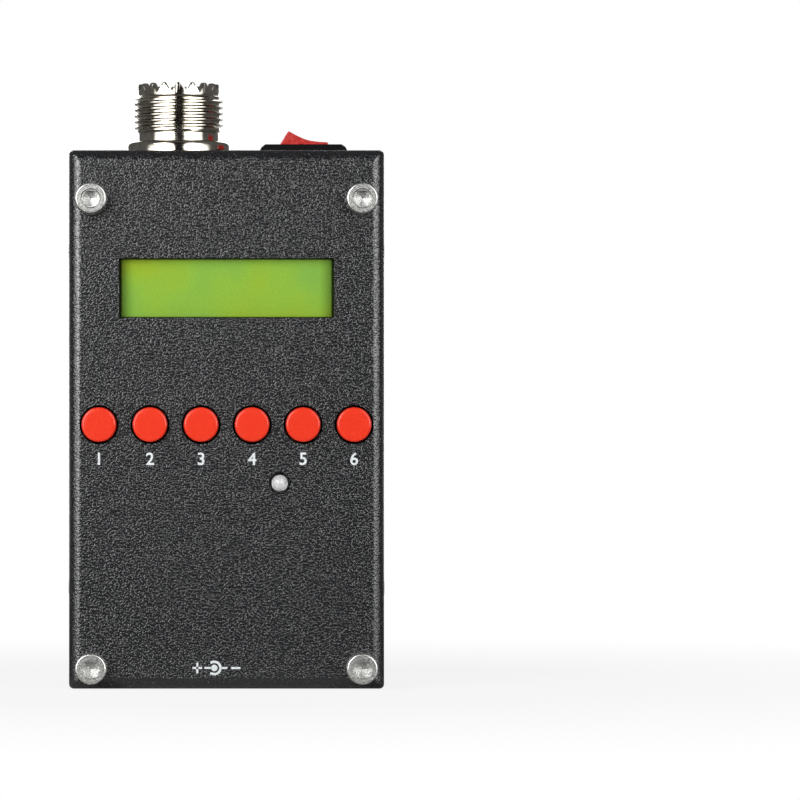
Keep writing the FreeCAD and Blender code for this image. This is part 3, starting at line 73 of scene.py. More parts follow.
# The opening in front of the display, across and up, and the width of the dark line of painted shade just
# inside its edge
DISPLAY_WINDOW = Vector((37.5 * MM, 10.4 * MM))
EDGE_SHADE_LINE = 0.6 * MM


# --------------------------------------------------------------------------------------- small helpers


def linear(code):
    """A linear RGB colour from an sRGB hex value."""
    parts = [int(code[i : i + 2], 16) / 255 for i in (1, 3, 5)]
    return tuple(p / 12.92 if p <= 0.04045 else ((p + 0.055) / 1.055) ** 2.4 for p in parts)


def size(name, description, millimetres):
    return FloatProperty(name=name, description=description, default=millimetres * MM, min=0, unit="LENGTH")


def level(name, description, value, low=0.0):
    return FloatProperty(name=name, description=description, default=value, min=low)


def tint(name, description, code):
    kind = {"subtype": "COLOR", "min": 0, "max": 1}
    return FloatVectorProperty(name=name, description=description, default=linear(code), **kind)


def middle_of(node):
    low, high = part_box(node)
    return (low + high) / 2


def only(piece):
    """Leaves one object selected and active, or none."""
    if bpy.context.object and bpy.context.object.mode != "OBJECT":
        bpy.ops.object.mode_set(mode="OBJECT")
    bpy.ops.object.select_all(action="DESELECT")
    if piece:
        bpy.context.view_layer.objects.active = piece
        piece.select_set(True)


def edit(piece):
    only(piece)
    bpy.ops.object.mode_set(mode="EDIT")


def added(name):
    """Names the primitive that was just added, with its place moved into its mesh."""
    bpy.ops.object.transform_apply(location=True, rotation=True, scale=True)
    piece = bpy.context.object
    piece.name = piece.data.name = name
    return piece


def rod(corners, radius, length, middle, turn=ALONG_DEPTH):
    kind = {"vertices": corners, "radius": radius, "depth": length}
    bpy.ops.mesh.primitive_cylinder_add(location=middle, rotation=turn, **kind)


def block(middle, extent):
    bpy.ops.mesh.primitive_cube_add(size=1, location=middle, scale=extent)


def pick(piece, test, kind="FACE"):
    """Selects only the faces, edges or corners that pass a test of the item and its middle."""
    shape = bmesh.from_edit_mesh(piece.data)
    bpy.context.tool_settings.mesh_select_mode = (kind == "VERT", kind == "EDGE", kind == "FACE")
    shape.select_mode = {kind}
    for item in (*shape.verts, *shape.edges, *shape.faces):
        item.select_set(False)
    found = 0
    for item in {"VERT": shape.verts, "EDGE": shape.edges, "FACE": shape.faces}[kind]:
        corners = [item] if kind == "VERT" else item.verts
        if test(item, sum((c.co for c in corners), Vector()) / len(corners)):
            item.select_set(True)
            found += 1
    if not found:
        raise RuntimeError(f"{piece.name}: nothing was found to select")
    shape.select_flush_mode()
    bmesh.update_edit_mesh(piece.data)


def extrude(x=0.0, y=0.0, z=0.0):
    bpy.ops.mesh.extrude_region_move(TRANSFORM_OT_translate={"value": (x, y, z)})


def inset(width, sink=0.0, each=False):
    """Insets the picked faces, all as one or each by itself, and sinks what is inside."""
    bpy.ops.mesh.inset(thickness=width, depth=-sink, use_individual=each)


def resize(x, y, z, centre):
    bpy.ops.transform.resize(value=(x, y, z), center_override=centre)


def round_picked(width, segments):
    bpy.ops.mesh.bevel(offset=width, segments=segments, affect="EDGES")


def face_outward():
    bpy.ops.mesh.select_all(action="SELECT")
    bpy.ops.mesh.normals_make_consistent(inside=False)


def smooth(piece, degrees=35):
    """Shades the piece smooth up to an angle, with its large faces flat beside their rounded edges."""
    only(piece)
    bpy.ops.object.shade_smooth_by_angle(angle=math.radians(degrees))
    weighting = piece.modifiers.new("Flats", "WEIGHTED_NORMAL")
    weighting.weight = 100
    weighting.keep_sharp = True
    bpy.ops.object.modifier_apply(modifier=weighting.name)


def ease_edges(piece, width, segments, degrees):
    """Rounds every edge that is sharper than the given angle."""
    only(piece)
    rounding = piece.modifiers.new("Edges", "BEVEL")
    rounding.width = width
    rounding.segments = segments
    rounding.limit_method = "ANGLE"
    rounding.angle_limit = math.radians(degrees)
    bpy.ops.object.modifier_apply(modifier=rounding.name)
    smooth(piece, degrees)


def merged_copy(node, name):
    """A copy of a solid's mesh with its corners joined and its flat faces whole again."""
    piece = bpy.data.objects.new(name, NODES[node].data.copy())
    piece.data.name = name
    bpy.context.scene.collection.objects.link(piece)
    edit(piece)
    bpy.ops.mesh.select_all(action="SELECT")
    bpy.ops.mesh.remove_doubles(threshold=TOUCH)
    bpy.ops.mesh.dissolve_limited(angle_limit=math.radians(0.5))
    only(piece)
    return piece


def copies(piece, spots):
    """The piece at the first spot, and a copy with its own mesh at each other one."""
    made = [piece]
    for number, spot in enumerate(spots[1:], 2):
        twin = bpy.data.objects.new(f"{piece.name[:-1]}{number}", piece.data.copy())
        twin.data.name = twin.name
        bpy.context.scene.collection.objects.link(twin)
        only(twin)
        twin.location = spot - spots[0]
        bpy.ops.object.transform_apply(location=True)
        made.append(twin)
    return made


def dress(piece, body, slot, finish, *nodes):
    """Gives a finished piece its material and its body, and hides the solids that it stands for."""
    piece.data.materials.clear()
    piece.data.materials.append(bpy.data.materials[bpy.context.scene["analyzer_finishes"][finish]])
    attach(piece, body)
    if nodes:
        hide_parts(*nodes)


def mark_face(piece, centre, across):
    """A UV map that holds each corner's place in millimetres from the middle of a round face."""
    layer = piece.data.uv_layers.new(name="face_place")
    for loop in piece.data.loops:
        offset = piece.data.vertices[loop.vertex_index].co - centre
        layer.data[loop.index].uv = (offset.dot(across) / MM, offset.dot(UP) / MM)
    piece.data.uv_layers.active = layer


def drive_hole(piece, centre, outward, corners, radius, depth, cone=0.0):
    """Sinks a straight hole with flat sides into the round end face that looks outward.

    cone is how far the drill's point went past the end of the flat sides."""
    near = 0.01 * MM
    axis = "XYZ"[max(range(3), key=lambda i: abs(outward[i]))]
    turned = outward.to_track_quat("Z", "Y").to_euler()

    def on_face(at, reach):
        return (at - centre).length < reach and abs((at - centre).dot(outward)) < near

    edit(piece)
    pick(piece, lambda f, at: f.normal.dot(outward) > 0.99 and on_face(at, near))
    bpy.ops.mesh.delete(type="ONLY_FACE")
    bpy.ops.mesh.primitive_circle_add(vertices=corners, radius=radius, location=centre, rotation=turned)
    bpy.ops.transform.rotate(value=math.pi / corners, orient_axis=axis, center_override=centre)
    pick(piece, lambda e, at: e.is_boundary or e.is_wire, "EDGE")
    bpy.ops.mesh.fill()
    pick(piece, lambda e, at: e.is_boundary and on_face(at, radius * 1.01), "EDGE")
    extrude(*(-outward * depth))
    bpy.ops.mesh.edge_face_add()
    if cone:
        # The point fills nearly the whole width between the flat sides
        inset(radius * math.cos(math.pi / corners) * 0.92)
        bpy.ops.transform.translate(value=-outward * cone)
    face_outward()
    only(piece)


# -------------------------------------------------------------------------------------------- finishes


def node(tree, kind, inputs=(), stops=None, **settings):
    """Adds a node, with inputs by name or number, or in the order of its sockets, and a ramp's stops.

    An input is a value, another node's output, or another node, which stands for its first output."""
    made = tree.nodes.new("ShaderNode" + kind)
    for key, value in settings.items():
        setattr(made, key, value)
    for socket, value in inputs.items() if isinstance(inputs, dict) else enumerate(inputs):
        if isinstance(value, bpy.types.Node):
            value = value.outputs[0]
        if isinstance(value, bpy.types.NodeSocket):
            tree.links.new(value, made.inputs[socket])
        else:
            made.inputs[socket].default_value = value
    if stops:
        ramp = made.color_ramp
        while len(ramp.elements) < len(stops):
            ramp.elements.new(1.0)
        for element, (place, colour) in zip(ramp.elements, stops):
            element.position = place
            element.color = (*(linear(colour) if isinstance(colour, str) else colour), 1)
    return made


def empty_tree(owner):
    owner.use_nodes = True
    owner.node_tree.nodes.clear()
    return owner.node_tree


def new_finish(name):
    """A material and its empty tree."""
    made = bpy.data.materials.new(name)
    return made, empty_tree(made)


def shaded(made, colour, roughness, normal=None, **sockets):
    """Ends a finish with its one shader, whose constant values are set on its own sockets."""
    values = {"Base Color": colour, "Roughness": roughness}
    if normal:
        values["Normal"] = normal
    values.update((key.replace("_", " "), value) for key, value in sockets.items())
    shader = node(made.node_tree, "BsdfPrincipled", values)
    node(made.node_tree, "OutputMaterial", {"Surface": shader})
    return made


def grained(name, colour, shade, roughness, grain, relief=0.0, **sockets):
    """A finish whose colour and gloss wander a little over a grain of a real size in millimetres.

    colour and shade are the two colours it wanders between, roughness is its lowest and highest, and
    relief is how high the grain stands, in millimetres."""
    made, tree = new_finish(name)
    place = node(tree, "TexCoord").outputs["Object"]
    speck = node(tree, "TexNoise", {"Vector": place, "Scale": 1 / (grain * MM), "Detail": 3.0})
    tone = node(tree, "ValToRGB", [speck], [(0.3, shade), (0.7, colour)])
    gloss = node(tree, "MapRange", (speck, 0.3, 0.7, *roughness))
    bump = None
    if relief:
        bump = node(tree, "Bump", {"Height": speck, "Distance": relief * MM, "Strength": 1.0})
    return shaded(made, tone, gloss, bump, **sockets)


def wrinkle_powder_coat(look):
    # Black polyester powder, baked until it wrinkles into grains and short worms about 0.35 mm wide: satin
    # all over, a little duller on its crests; its colour is lighter on the crests as painted highlight,
    # darker between them as painted shade, with a few bright specks as painted glints
    made, tree = new_finish("wrinkle_powder_coat")
    place = node(tree, "TexCoord").outputs["Object"]
    wrinkles = {"Vector": place, "Scale": 1 / (0.35 * MM), "Detail": 1.0, "Roughness": 0.4}
    grain = node(tree, "TexNoise", wrinkles)
    crest = node(tree, "MapRange", (grain, 0.44, 0.7), interpolation_type="SMOOTHSTEP")
    # Painted glints: a few bright grey specks stand in for highlights on the coat's grain
    glint_noise = node(tree, "TexNoise", {"Vector": place, "Scale": 1 / (0.3 * MM), "Detail": 0.0})
    bright = node(tree, "MapRange", (glint_noise, 0.74, 0.84))
    # Painted highlight and painted shade: the colour is lighter on the crests and darker between them
    body = node(tree, "ValToRGB", [crest], [(0.0, look.coat_valley), (1.0, look.coat_ridge)])
    glinted_tone = node(tree, "Mix", {0: bright, 6: body, 7: (*look.coat_speck, 1)}, data_type="RGBA")
    gloss = node(tree, "MapRange", (crest, 0, 1, 0.22, 0.25))
    bump = node(tree, "Bump", {"Height": crest, "Distance": 0.031 * MM, "Strength": 1.0})
    return shaded(made, glinted_tone.outputs[2], gloss, bump, IOR=1.5, Specular_IOR_Level=0.9)


def turned_steel(name, colour, shade, roughness):
    # Plated steel with a faced end: fine rings round the axis, as the tool left them, and small pits
    made, tree = new_finish(name)
    # The map is in millimetres
    spot = node(tree, "UVMap", uv_map="face_place")
    reach = node(tree, "VectorMath", [spot], operation="LENGTH").outputs["Value"]
    grain = node(tree, "TexNoise", {"Vector": spot, "Scale": 1 / 0.455})
    wander = node(tree, "Math", (grain, 0.12, reach), operation="MULTIPLY_ADD")
    # Real tool marks are about 0.05 mm apart; 0.3 mm is the finest that shows
    turns = node(tree, "Math", (wander, math.tau / 0.3), operation="MULTIPLY")
    ring = node(tree, "Math", [turns], operation="SINE")
    tone = node(tree, "ValToRGB", [grain], [(0.3, shade), (0.7, colour)])
    gloss = node(tree, "MapRange", (grain, 0.3, 0.7, *roughness))
    pits = node(tree, "TexNoise", {"Vector": spot, "Scale": 1 / 0.278})
    pitted = node(tree, "MapRange", (pits, 0.3, 0.55, 0, 0.8))
    height = node(tree, "Math", (ring, 0.4, pitted), operation="MULTIPLY_ADD")
    bump = node(tree, "Bump", {"Height": height, "Distance": 0.005 * MM, "Strength": 1.0})
    return shaded(made, tone, gloss, bump, Metallic=1.0)


def nickel_plate(look):
    # Nickel over turned brass: a warm mirror, softened by handling marks and by lines left by the lathe
    made, tree = new_finish("nickel_plated_brass")
    place = node(tree, "TexCoord").outputs["Object"]
    # The lines are drawn out along the lathe's turn to 14 times their width
    flat = node(tree, "Mapping", {"Vector": place, "Scale": (1, 1, 14)})
    lines = node(tree, "TexNoise", {"Vector": flat, "Scale": 1 / (3.846 * MM), "Detail": 3.0})
    marks = node(tree, "TexNoise", {"Vector": place, "Scale": 1 / (2.38 * MM), "Detail": 4.0})
    tone = node(tree, "ValToRGB", [marks], [(0.3, look.nickel_shade), (0.68, look.nickel)])
    gloss = node(tree, "MapRange", (marks, 0.3, 0.7, 0.08, 0.16))
    bump = node(tree, "Bump", {"Height": lines, "Distance": 0.006 * MM, "Strength": 1.0})
    return shaded(made, tone, gloss, bump, Metallic=1.0)


def display_glass(look):
    # A dot-matrix cell behind its front polariser: glossy, yellow-green, a little uneven over its length
    made, tree = new_finish("display_cell")
    place = node(tree, "TexCoord").outputs["Object"]
    centre = tuple(middle_of("lcd_glass"))
    spot = node(tree, "VectorMath", (place, centre), operation="SUBTRACT")
    # Seen a little from the side, it is yellower at two opposite corners and cooler at the others
    shares = (1 / DISPLAY_WINDOW.x, 0, 1 / DISPLAY_WINDOW.y)
    share = node(tree, "VectorMath", (spot, shares), operation="MULTIPLY")
    across, _, up = node(tree, "SeparateXYZ", [share]).outputs
    saddle = node(tree, "Math", (across, up), operation="MULTIPLY")
    cloud = node(tree, "TexNoise", {"Vector": place, "Scale": 1 / (9 * MM), "Detail": 1.0})
    drift = node(tree, "Math", (saddle, -1.3, cloud), operation="MULTIPLY_ADD")
    stops = [(0.1, look.display_blue), (0.5, look.display_green), (0.82, look.display_yellow)]
    broad = node(tree, "ValToRGB", [drift], stops)
    fine = node(tree, "TexNoise", {"Vector": place, "Scale": 1 / (0.25 * MM), "Detail": 1.0})
    mottle = node(tree, "MapRange", (fine, 0, 1, 0.86, 1.14))
    mottled = node(tree, "VectorMath", {0: broad, "Scale": mottle}, operation="SCALE")
    # Painted shade: the cell is darker towards both short ends, as the shade of the window's edges, and a
    # thin dark line of painted shade runs just inside the window's edge
    reach = node(tree, "VectorMath", [spot], operation="ABSOLUTE")
    across, _, up = node(tree, "SeparateXYZ", [reach]).outputs
    wide, high = DISPLAY_WINDOW / 2
    dim = node(tree, "MapRange", (across, wide - 2.6 * MM, wide, 1.0, 0.5))
    # Painted shade along the inside of the window's edge
    beside = node(tree, "MapRange", (across, wide - EDGE_SHADE_LINE, wide - EDGE_SHADE_LINE / 2))
    above = node(tree, "MapRange", (up, high - EDGE_SHADE_LINE / 2, high - EDGE_SHADE_LINE / 4))
    painted_edge_shade = node(tree, "Math", (beside, above), operation="MAXIMUM")
    kept = node(tree, "MapRange", (painted_edge_shade, 0, 1, 1.0, 0.1))
    amount = node(tree, "Math", (dim, kept), operation="MULTIPLY")
    colour = node(tree, "VectorMath", {0: mottled, "Scale": amount}, operation="SCALE")
    return shaded(made, colour, 0.12, IOR=1.49)


def circuit_board(look):
    # Glass-epoxy board under green solder mask, with the copper tracks a shade lighter beneath it
    made, tree = new_finish("solder_mask_board")
    place = node(tree, "TexCoord").outputs["Object"]
    # The tracks' pattern lies flat, so it is turned upright with the board
    layout = {
        "Vector": node(tree, "Mapping", {"Vector": place, "Rotation": ALONG_DEPTH}),
        "Color1": (*look.mask, 1),
        "Color2": (*look.mask, 1),
        "Mortar": (*look.track, 1),
        "Scale": 1.0,
        "Mortar Size": 0.16 * MM,
        "Brick Width": 3.8 * MM,
        "Row Height": 1.27 * MM,
    }
    tracks = node(tree, "TexBrick", layout)
    weave = node(tree, "TexNoise", {"Vector": place, "Scale": 1 / (0.4 * MM)})
    gloss = node(tree, "MapRange", (weave, 0, 1, 0.22, 0.42))
    bump = node(tree, "Bump", {"Height": tracks.outputs["Fac"], "Distance": 0.035 * MM, "Strength": 1.0})
    return shaded(made, tracks, gloss, bump, IOR=1.5)


def make_finishes(look):
    """Every finish of the object, by the name of its slot in the record."""
    soft = {"Subsurface_Weight": 0.1, "Subsurface_Scale": 0.5 * MM}
    dense = {"Subsurface_Weight": 0.05, "Subsurface_Scale": 0.4 * MM}
    plating = (look.bright_screw, look.bright_screw_shade)
    return {
        "powder_coat": wrinkle_powder_coat(look),
        "nickel": nickel_plate(look),
        "lcd_glass": display_glass(look),
        "circuit_board": circuit_board(look),
        # Zinc-plated cap screws: bright, with turned rings
        "bright_screw": turned_steel("zinc_plated_steel", *plating, (0.3, 0.42)),
        # Side screws of the same plating, duller and darker
        "side_screw": turned_steel("dull_plated_steel", "#a9a9a6", "#80807d", (0.3, 0.45)),
        # Black-oxide steel of the board screws: near black and waxy
        "dark_screw": grained("black_oxide_steel", "#4b4b4c", "#2b2b2c", (0.35, 0.5), 0.4, Metallic=1.0),
        # Pressed PTFE: waxy white with a soft sheen, and light goes a little way in
        "ptfe": grained("white_ptfe", "#f1f0ea", "#e4e2da", (0.35, 0.5), 1.2, IOR=1.35, **soft),
        # Silver over brass springs: pale, slightly yellowed
        "silvered_brass": grained("silvered_brass", "#e6e1d4", "#c9bfa6", (0.2, 0.35), 0.8, Metallic=1.0),
        # Nylon from a spark-eroded mould: grey-black with a fine even texture
        "black_plastic": grained(
            "moulded_black_nylon", look.bezel, "#0d0d0e", (0.14, 0.22), 0.25, 0.002, IOR=1.53
        ),
        # Glossy red nylon of the rocker
        "red_paddle": grained(
            "moulded_red_nylon", look.paddle, "#bf2d27", (0.22, 0.34), 0.7, 0.003, IOR=1.53, **dense
        ),
        # Satin red ABS of the button caps, almost even
        "red_cap": grained("moulded_red_abs", look.cap, look.cap_shade, (0.2, 0.26), 0.5, 0.003, IOR=1.5),
        # Acetal plungers: off-white and waxy
        "plunger_plastic": grained("white_acetal", "#e9e4d6", "#d8d1bf", (0.35, 0.5), 0.8, IOR=1.48),
        # Epoxy of the light, partly diffuse white as a painted reflection of the softboxes in the clear
        # lens, so that the cup inside reads as one white disc
        "clear_lens": grained(
            "clear_epoxy", "#ffffff", "#f4f7f7", (0.03, 0.08), 0.5, IOR=1.5, Transmission_Weight=0.45
        ),
        # Tin over copper or steel: soft grey metal
        "tinned": grained("tinned_metal", "#cfd0cf", "#a8aaab", (0.28, 0.45), 0.6, Metallic=1.0),
        # Zinc-plated brass spacers: cool grey with a faint yellow
        "zinc_brass": grained("zinc_plated_brass", "#cfcdc0", "#aaa896", (0.25, 0.4), 0.7, Metallic=1.0),
        # The display's folded tin frame, painted satin black
        "lcd_frame": grained("black_painted_tin", "#1b1c1d", "#101011", (0.4, 0.55), 0.5, IOR=1.5),
        # Milky acrylic light guide
        "lcd_backlight": grained("milky_acrylic", "#f0f2ea", "#dfe3d6", (0.3, 0.45), 1.5, IOR=1.49),
        # Sintered ferrite: dark grey and slightly porous
        "ferrite": grained("sintered_ferrite", "#3f4143", "#292a2c", (0.5, 0.7), 0.3, 0.01, IOR=1.8),
        # Shrunk vinyl sleeve of the capacitors: dark blue-black
        "capacitor_sleeve": grained("vinyl_sleeve", "#20304e", "#151f35", (0.25, 0.4), 1.0, IOR=1.53),
        # Drawn steel cans with a nickel flash
        "cells": grained("drawn_steel_can", "#c2c4c5", "#9b9d9f", (0.2, 0.35), 2.5, Metallic=1.0),
        # Heat-shrunk film round the cells: glossy green with slight puckers
        "sleeve": grained("shrink_film", "#2f8a5a", "#246f48", (0.15, 0.3), 4.0, 0.05, IOR=1.53),
        # Closed-cell foam pad
        "foam": grained("closed_cell_foam", "#3a3a3b", "#1c1c1d", (0.8, 0.95), 0.35, 0.05, IOR=1.5),
        # Ribbon cable in grey vinyl
        "wire": grained("grey_vinyl", "#8f9193", "#76787a", (0.35, 0.5), 1.5, 0.01, IOR=1.53),
        # Natural nylon of the battery plug
        "white_plastic": grained("natural_nylon", "#ece8da", "#dcd6c4", (0.3, 0.45), 0.8, IOR=1.53),
        # Screen-printed enamel ink: a nearly flat white
        "ink": grained("white_enamel_ink", look.ink, "#d5dadc", (0.45, 0.6), 0.3, IOR=1.5),
        # The light's stamped lead-frame cup, silvered to throw light forward
        "cup": grained("silvered_cup", "#f2f2ef", "#dadad6", (0.25, 0.4), 0.4, Metallic=0.6),
    }


# ----------------------------------------------------------------------------------- sizes and colours


class CaseSizes(bpy.types.PropertyGroup):
    edge: size("Edge rounding", "How far the cut edges of the sheets are rounded by the coat", 0.14)


class ScrewSizes(bpy.types.PropertyGroup):
    head_radius: size("Head radius", "Outside radius of the cap head", 2.75)
    head_height: size("Head height", "Height of the cap head", 3.0)
    rim: size("Rim", "Width of the rounded rim of the head", 0.32)
    rib: size("Knurl rib", "Half the width of a rib between two grooves of the head", 0.07)
    groove: size("Knurl depth", "Depth of the grooves round the head", 0.08)
    hex_across: size("Key size", "Distance across the flats of the hex socket", 2.5)
    hex_depth: size("Key depth", "Depth of the hex socket's flat sides", 1.1)
    hex_cone: size("Key hole point", "Depth of the drilled point under the hex socket", 0.2)
    hex_lip: size("Key hole lip", "Rounding of the hex socket's edges", 0.05)
    shank_radius: size("Shank radius", "Outside radius of the screw's thread", 1.5)
    side_length: size("Side screw length", "Length of the side screw's shank", 5.0)
    dome_edge: size("Dome edge", "Height of the straight edge of the side screw's head", 0.27)
    cross: size("Cross recess", "Length of the cross in the side screw's head", 2.7)
    cross_slot: size("Cross slot", "Width of the cross's slots", 0.6)


class SocketSizes(bpy.types.PropertyGroup):
    stem: size("Stem", "Radius of the stem that goes through the wall", 6.35)
    back_bore: size("Back bore", "Radius of the bore behind the insulator", 3.6)
    flange_height: size("Flange height", "Height of the flange on the wall", 2.2)
    flange_round: size("Flange rounding", "Rounding of the flange's upper edge", 0.8)
    neck: size("Neck", "Radius of the neck between the flange and the thread", 7.1)
    crest: size("Thread radius", "Radius over the crests of the thread", 7.9375)
    chamfer: size("Thread chamfer", "Chamfer at both ends of the thread", 0.7)
    thread_low: size("Thread start", "Height of the thread's lower end above the wall", 3.8)
    thread_high: size("Thread end", "Height of the thread's upper end above the wall", 10.35)
    pitch: size("Thread pitch", "Distance between two turns of the thread, 24 to the inch", 1.0583)
    thread_depth: size("Thread depth", "How deep the thread is cut", 0.6)
    crown: size("Crown", "Radius of the toothed crown", 7.2)
    parting: size("Parting groove", "Depth of the groove between the thread and the crown", 0.14)
    teeth: IntProperty(name="Teeth", description="Teeth round the crown", default=17, min=3)
    tooth_depth: size("Tooth depth", "How deep the notches between the teeth are", 1.85)
    land: size("Tooth land", "Width of a tooth's flat top", 0.5)
    edge: size("Edge rounding", "Rounding of the crown's edges", 0.36)


class ControlSizes(bpy.types.PropertyGroup):
    cap_edge: size("Cap edge", "Width of the rounded edge of a button cap", 0.4)
    stem_socket: size("Stem socket", "Side of the square socket for the switch's stem", 2.7)
    stem_depth: size("Socket depth", "Depth of the square socket", 3.0)
    paddle_width: size("Paddle width", "Width of the rocker's paddle", 6.7)
    paddle_edge: size("Paddle edge", "Rounding of the rocker's edges", 0.28)
    axle: size("Axle", "Radius of the stub axles that the rocker turns on", 1.0)
    bezel_edge: size("Bezel edge", "Rounding of the rocker's bezel", 0.16)
    lens_radius: size("Lens radius", "Radius of the charge light's lens", 1.5)
    lens_rim: size("Lens rim", "Height of the rim at the foot of the lens", 1.0)
    cup_radius: size("Cup radius", "Radius of the silvered cup in the lens", 0.95)
    cup_height: size("Cup height", "Height of the cup with its post", 2.2)


class PrintSizes(bpy.types.PropertyGroup):
    figure: size("Figure height", "Height of the printed numbers", 2.2)
    bold: size("Figure boldness", "How far the numbers' strokes are widened on each side", 0.045)
    film: size("Ink film", "How far the ink stands above the coat", 0.02)
    label_up: size("Label height", "Height of the middle of the numbers above the floor", 40.15)
    symbol_up: size("Symbol height", "Height of the middle of the polarity symbol", 3.71)
    symbol_aside: size("Symbol place", "How far the symbol's dot is to the right of the inlet's body", 1.36)
    symbol_radius: size("Symbol ring", "Radius of the polarity symbol's ring", 1.29)
    symbol_dot: size("Symbol dot", "Radius of the polarity symbol's dot", 0.56)
    stroke: size("Stroke", "Width of the polarity symbol's ring", 0.42)


class Colours(bpy.types.PropertyGroup):
    # The powder coat's painted highlight on its crests, painted shade in its valleys and painted glints in
    # its specks
    coat_ridge: tint("Coat ridge", "Powder coat on the crests of its wrinkles", "#1b1c1e")
    coat_valley: tint("Coat valley", "Powder coat between its wrinkles", "#121315")
    coat_speck: tint("Coat speck", "The bright specks of the powder coat", "#646567")
    nickel: tint("Nickel", "Nickel plate where it is clean", "#d6d1c7")
    nickel_shade: tint("Nickel shade", "Nickel plate where it has dulled", "#b1aa9e")
    bright_screw: tint("Front screw", "Plating of the front screws", "#cfd0cc")
    bright_screw_shade: tint("Front screw shade", "Duller plating of the front screws", "#b2b3b0")
    bezel: tint("Bezel", "Nylon of the rocker's bezel", "#151516")
    paddle: tint("Rocker", "Nylon of the rocker", "#cf3a33")
    cap: tint("Cap", "ABS of the button caps", "#f23a1e")
    cap_shade: tint("Cap shade", "ABS of the button caps where it is duller", "#ec351b")
    display_green: tint("Display", "The display's middle colour", "#8db842")
    display_blue: tint("Display, cool", "The display where it looks bluish", "#7aaf50")
    display_yellow: tint("Display, warm", "The display where it looks yellowish", "#97b433")
    mask: tint("Solder mask", "The circuit boards", "#14532f")
    track: tint("Tracks", "Copper under the solder mask", "#2a7a45")
    ink: tint("Ink", "The printed figures", "#e8eef0")


class StageSizes(bpy.types.PropertyGroup):
    camera_back: size("Camera distance", "How far the camera stands in front of the middle of the case", 900)
    camera_up: size("Camera height", "Height of the camera", 47)
    lens: level("Lens", "Focal length in millimetres", 228.0, 1.0)
    shift_x: level("Shift across", "Sideways shift of the view", 0.2168, -1.0)
    shift_y: level("Shift up", "Upward shift of the view", 0.0243, -1.0)
    left_box: level("Left softbox", "Power of the softbox on the left", 3.6)
    right_box: level("Right softbox", "Power of the softbox on the right", 5.2)
    rear_boxes: level("Rear softboxes", "Power of each softbox behind", 2.2)
    ambient: level("Ambient", "Strength of the even light from all sides", 0.1)
    tent: level("Tent", "How bright gloss sees the cloth beside the middle", 1.0)
    panels: level("Side panels", "How bright gloss sees the side panels", 4.2)
    room: level("Room", "How bright gloss sees the room beside the object", 0.13)
    card: level("Card", "How pale gloss sees the dark card on the floor", 0.12)


# ------------------------------------------------------------------------------------------ the pieces


class ANALYZER_OT_finishes(bpy.types.Operator):
    """Make every finish and give the solids that stay visible theirs"""

    bl_idname = "analyzer.finishes"
    bl_label = "Finishes"

    def execute(self, context):
        made = make_finishes(context.scene.analyzer_colours)
        context.scene["analyzer_finishes"] = {slot: finish.name for slot, finish in made.items()}
        for part in frame["record"]["subparts"]:
            for slot in NODES[part["node"]].material_slots:
                slot.material = made[part["material_slot"]]
        return {"FINISHED"}


class ANALYZER_OT_case(bpy.types.Operator):
    """Make the front shell and the rear cover, folded from sheet steel and powder coated"""

    bl_idname = "analyzer.case"
    bl_label = "Case sheets"

    def execute(self, context):
        for part in ("front_shell", "rear_cover"):
            sheet = merged_copy(part, f"coated_{part}")
            ease_edges(sheet, context.scene.analyzer_case.edge, 2, 40)
            dress(sheet, "case", "powder_coat", "powder_coat", part)
        return {"FINISHED"}


class ANALYZER_OT_front_screws(bpy.types.Operator):
    """Make the four socket cap screws of the front panel"""

    bl_idname = "analyzer.front_screws"
    bl_label = "Front screws"

    def execute(self, context):
        sizes = context.scene.analyzer_screws
        low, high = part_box("front_screws")
        radius, height = sizes.head_radius, sizes.head_height
        ups, acrosses = (high.z - radius, low.z + radius), (low.x + radius, high.x - radius)
        spots = [Vector((across, low.y, up)) for up in ups for across in acrosses]
        top = spots[0]
        only(None)
        rod(48, radius, height, top - FRONT * height / 2)
        screw = added("front_screw_1")
        edit(screw)
        # The shank grows from the underside
        pick(screw, lambda f, at: f.normal.y > 0.9)
        inset(radius - sizes.shank_radius)
        extrude(y=high.y - low.y - height)
        # The knurl is a groove between each two of its ribs
        pick(screw, lambda f, at: abs(f.normal.y) < 0.1 and at.y < top.y + height)
        inset(sizes.rib, sizes.groove, each=True)
        pick(screw, lambda e, at: abs(at.y - top.y) < TOUCH, "EDGE")
        round_picked(sizes.rim, 4)
        # A fine step runs round the face inside the rim, and the mouth of the key hole is countersunk:
        # each step's width and sink, in millimetres
        steps = ((0.08, 0), (0.05, 0.05), (0.55, 0), (0.18, 0.14))
        pick(screw, lambda f, at: f.normal.y < -0.99 and (at - top).length < 0.01 * MM)
        for step, sink in steps:
            inset(step * MM, sink * MM)
        sunk = top - FRONT * sum(sink for _, sink in steps) * MM
        corner = sizes.hex_across / math.sqrt(3)
        drive_hole(screw, sunk, FRONT, 6, corner, sizes.hex_depth, sizes.hex_cone)
        edit(screw)

        # The lip's edges turn down by more than a radian
        def on_lip(edge, at):
            near = abs(at.y - sunk.y) < TOUCH and (at - sunk).length < sizes.hex_across * 0.55
            return near and edge.calc_face_angle(0) > 1

        pick(screw, on_lip, "EDGE")
        round_picked(sizes.hex_lip, 2)
        smooth(screw, 32)
        mark_face(screw, top, Vector((1, 0, 0)))
        screws = copies(screw, spots)
        for piece in screws:
            dress(piece, "case", "bright_screw", "bright_screw")
        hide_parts("front_screws")
        return {"FINISHED"}


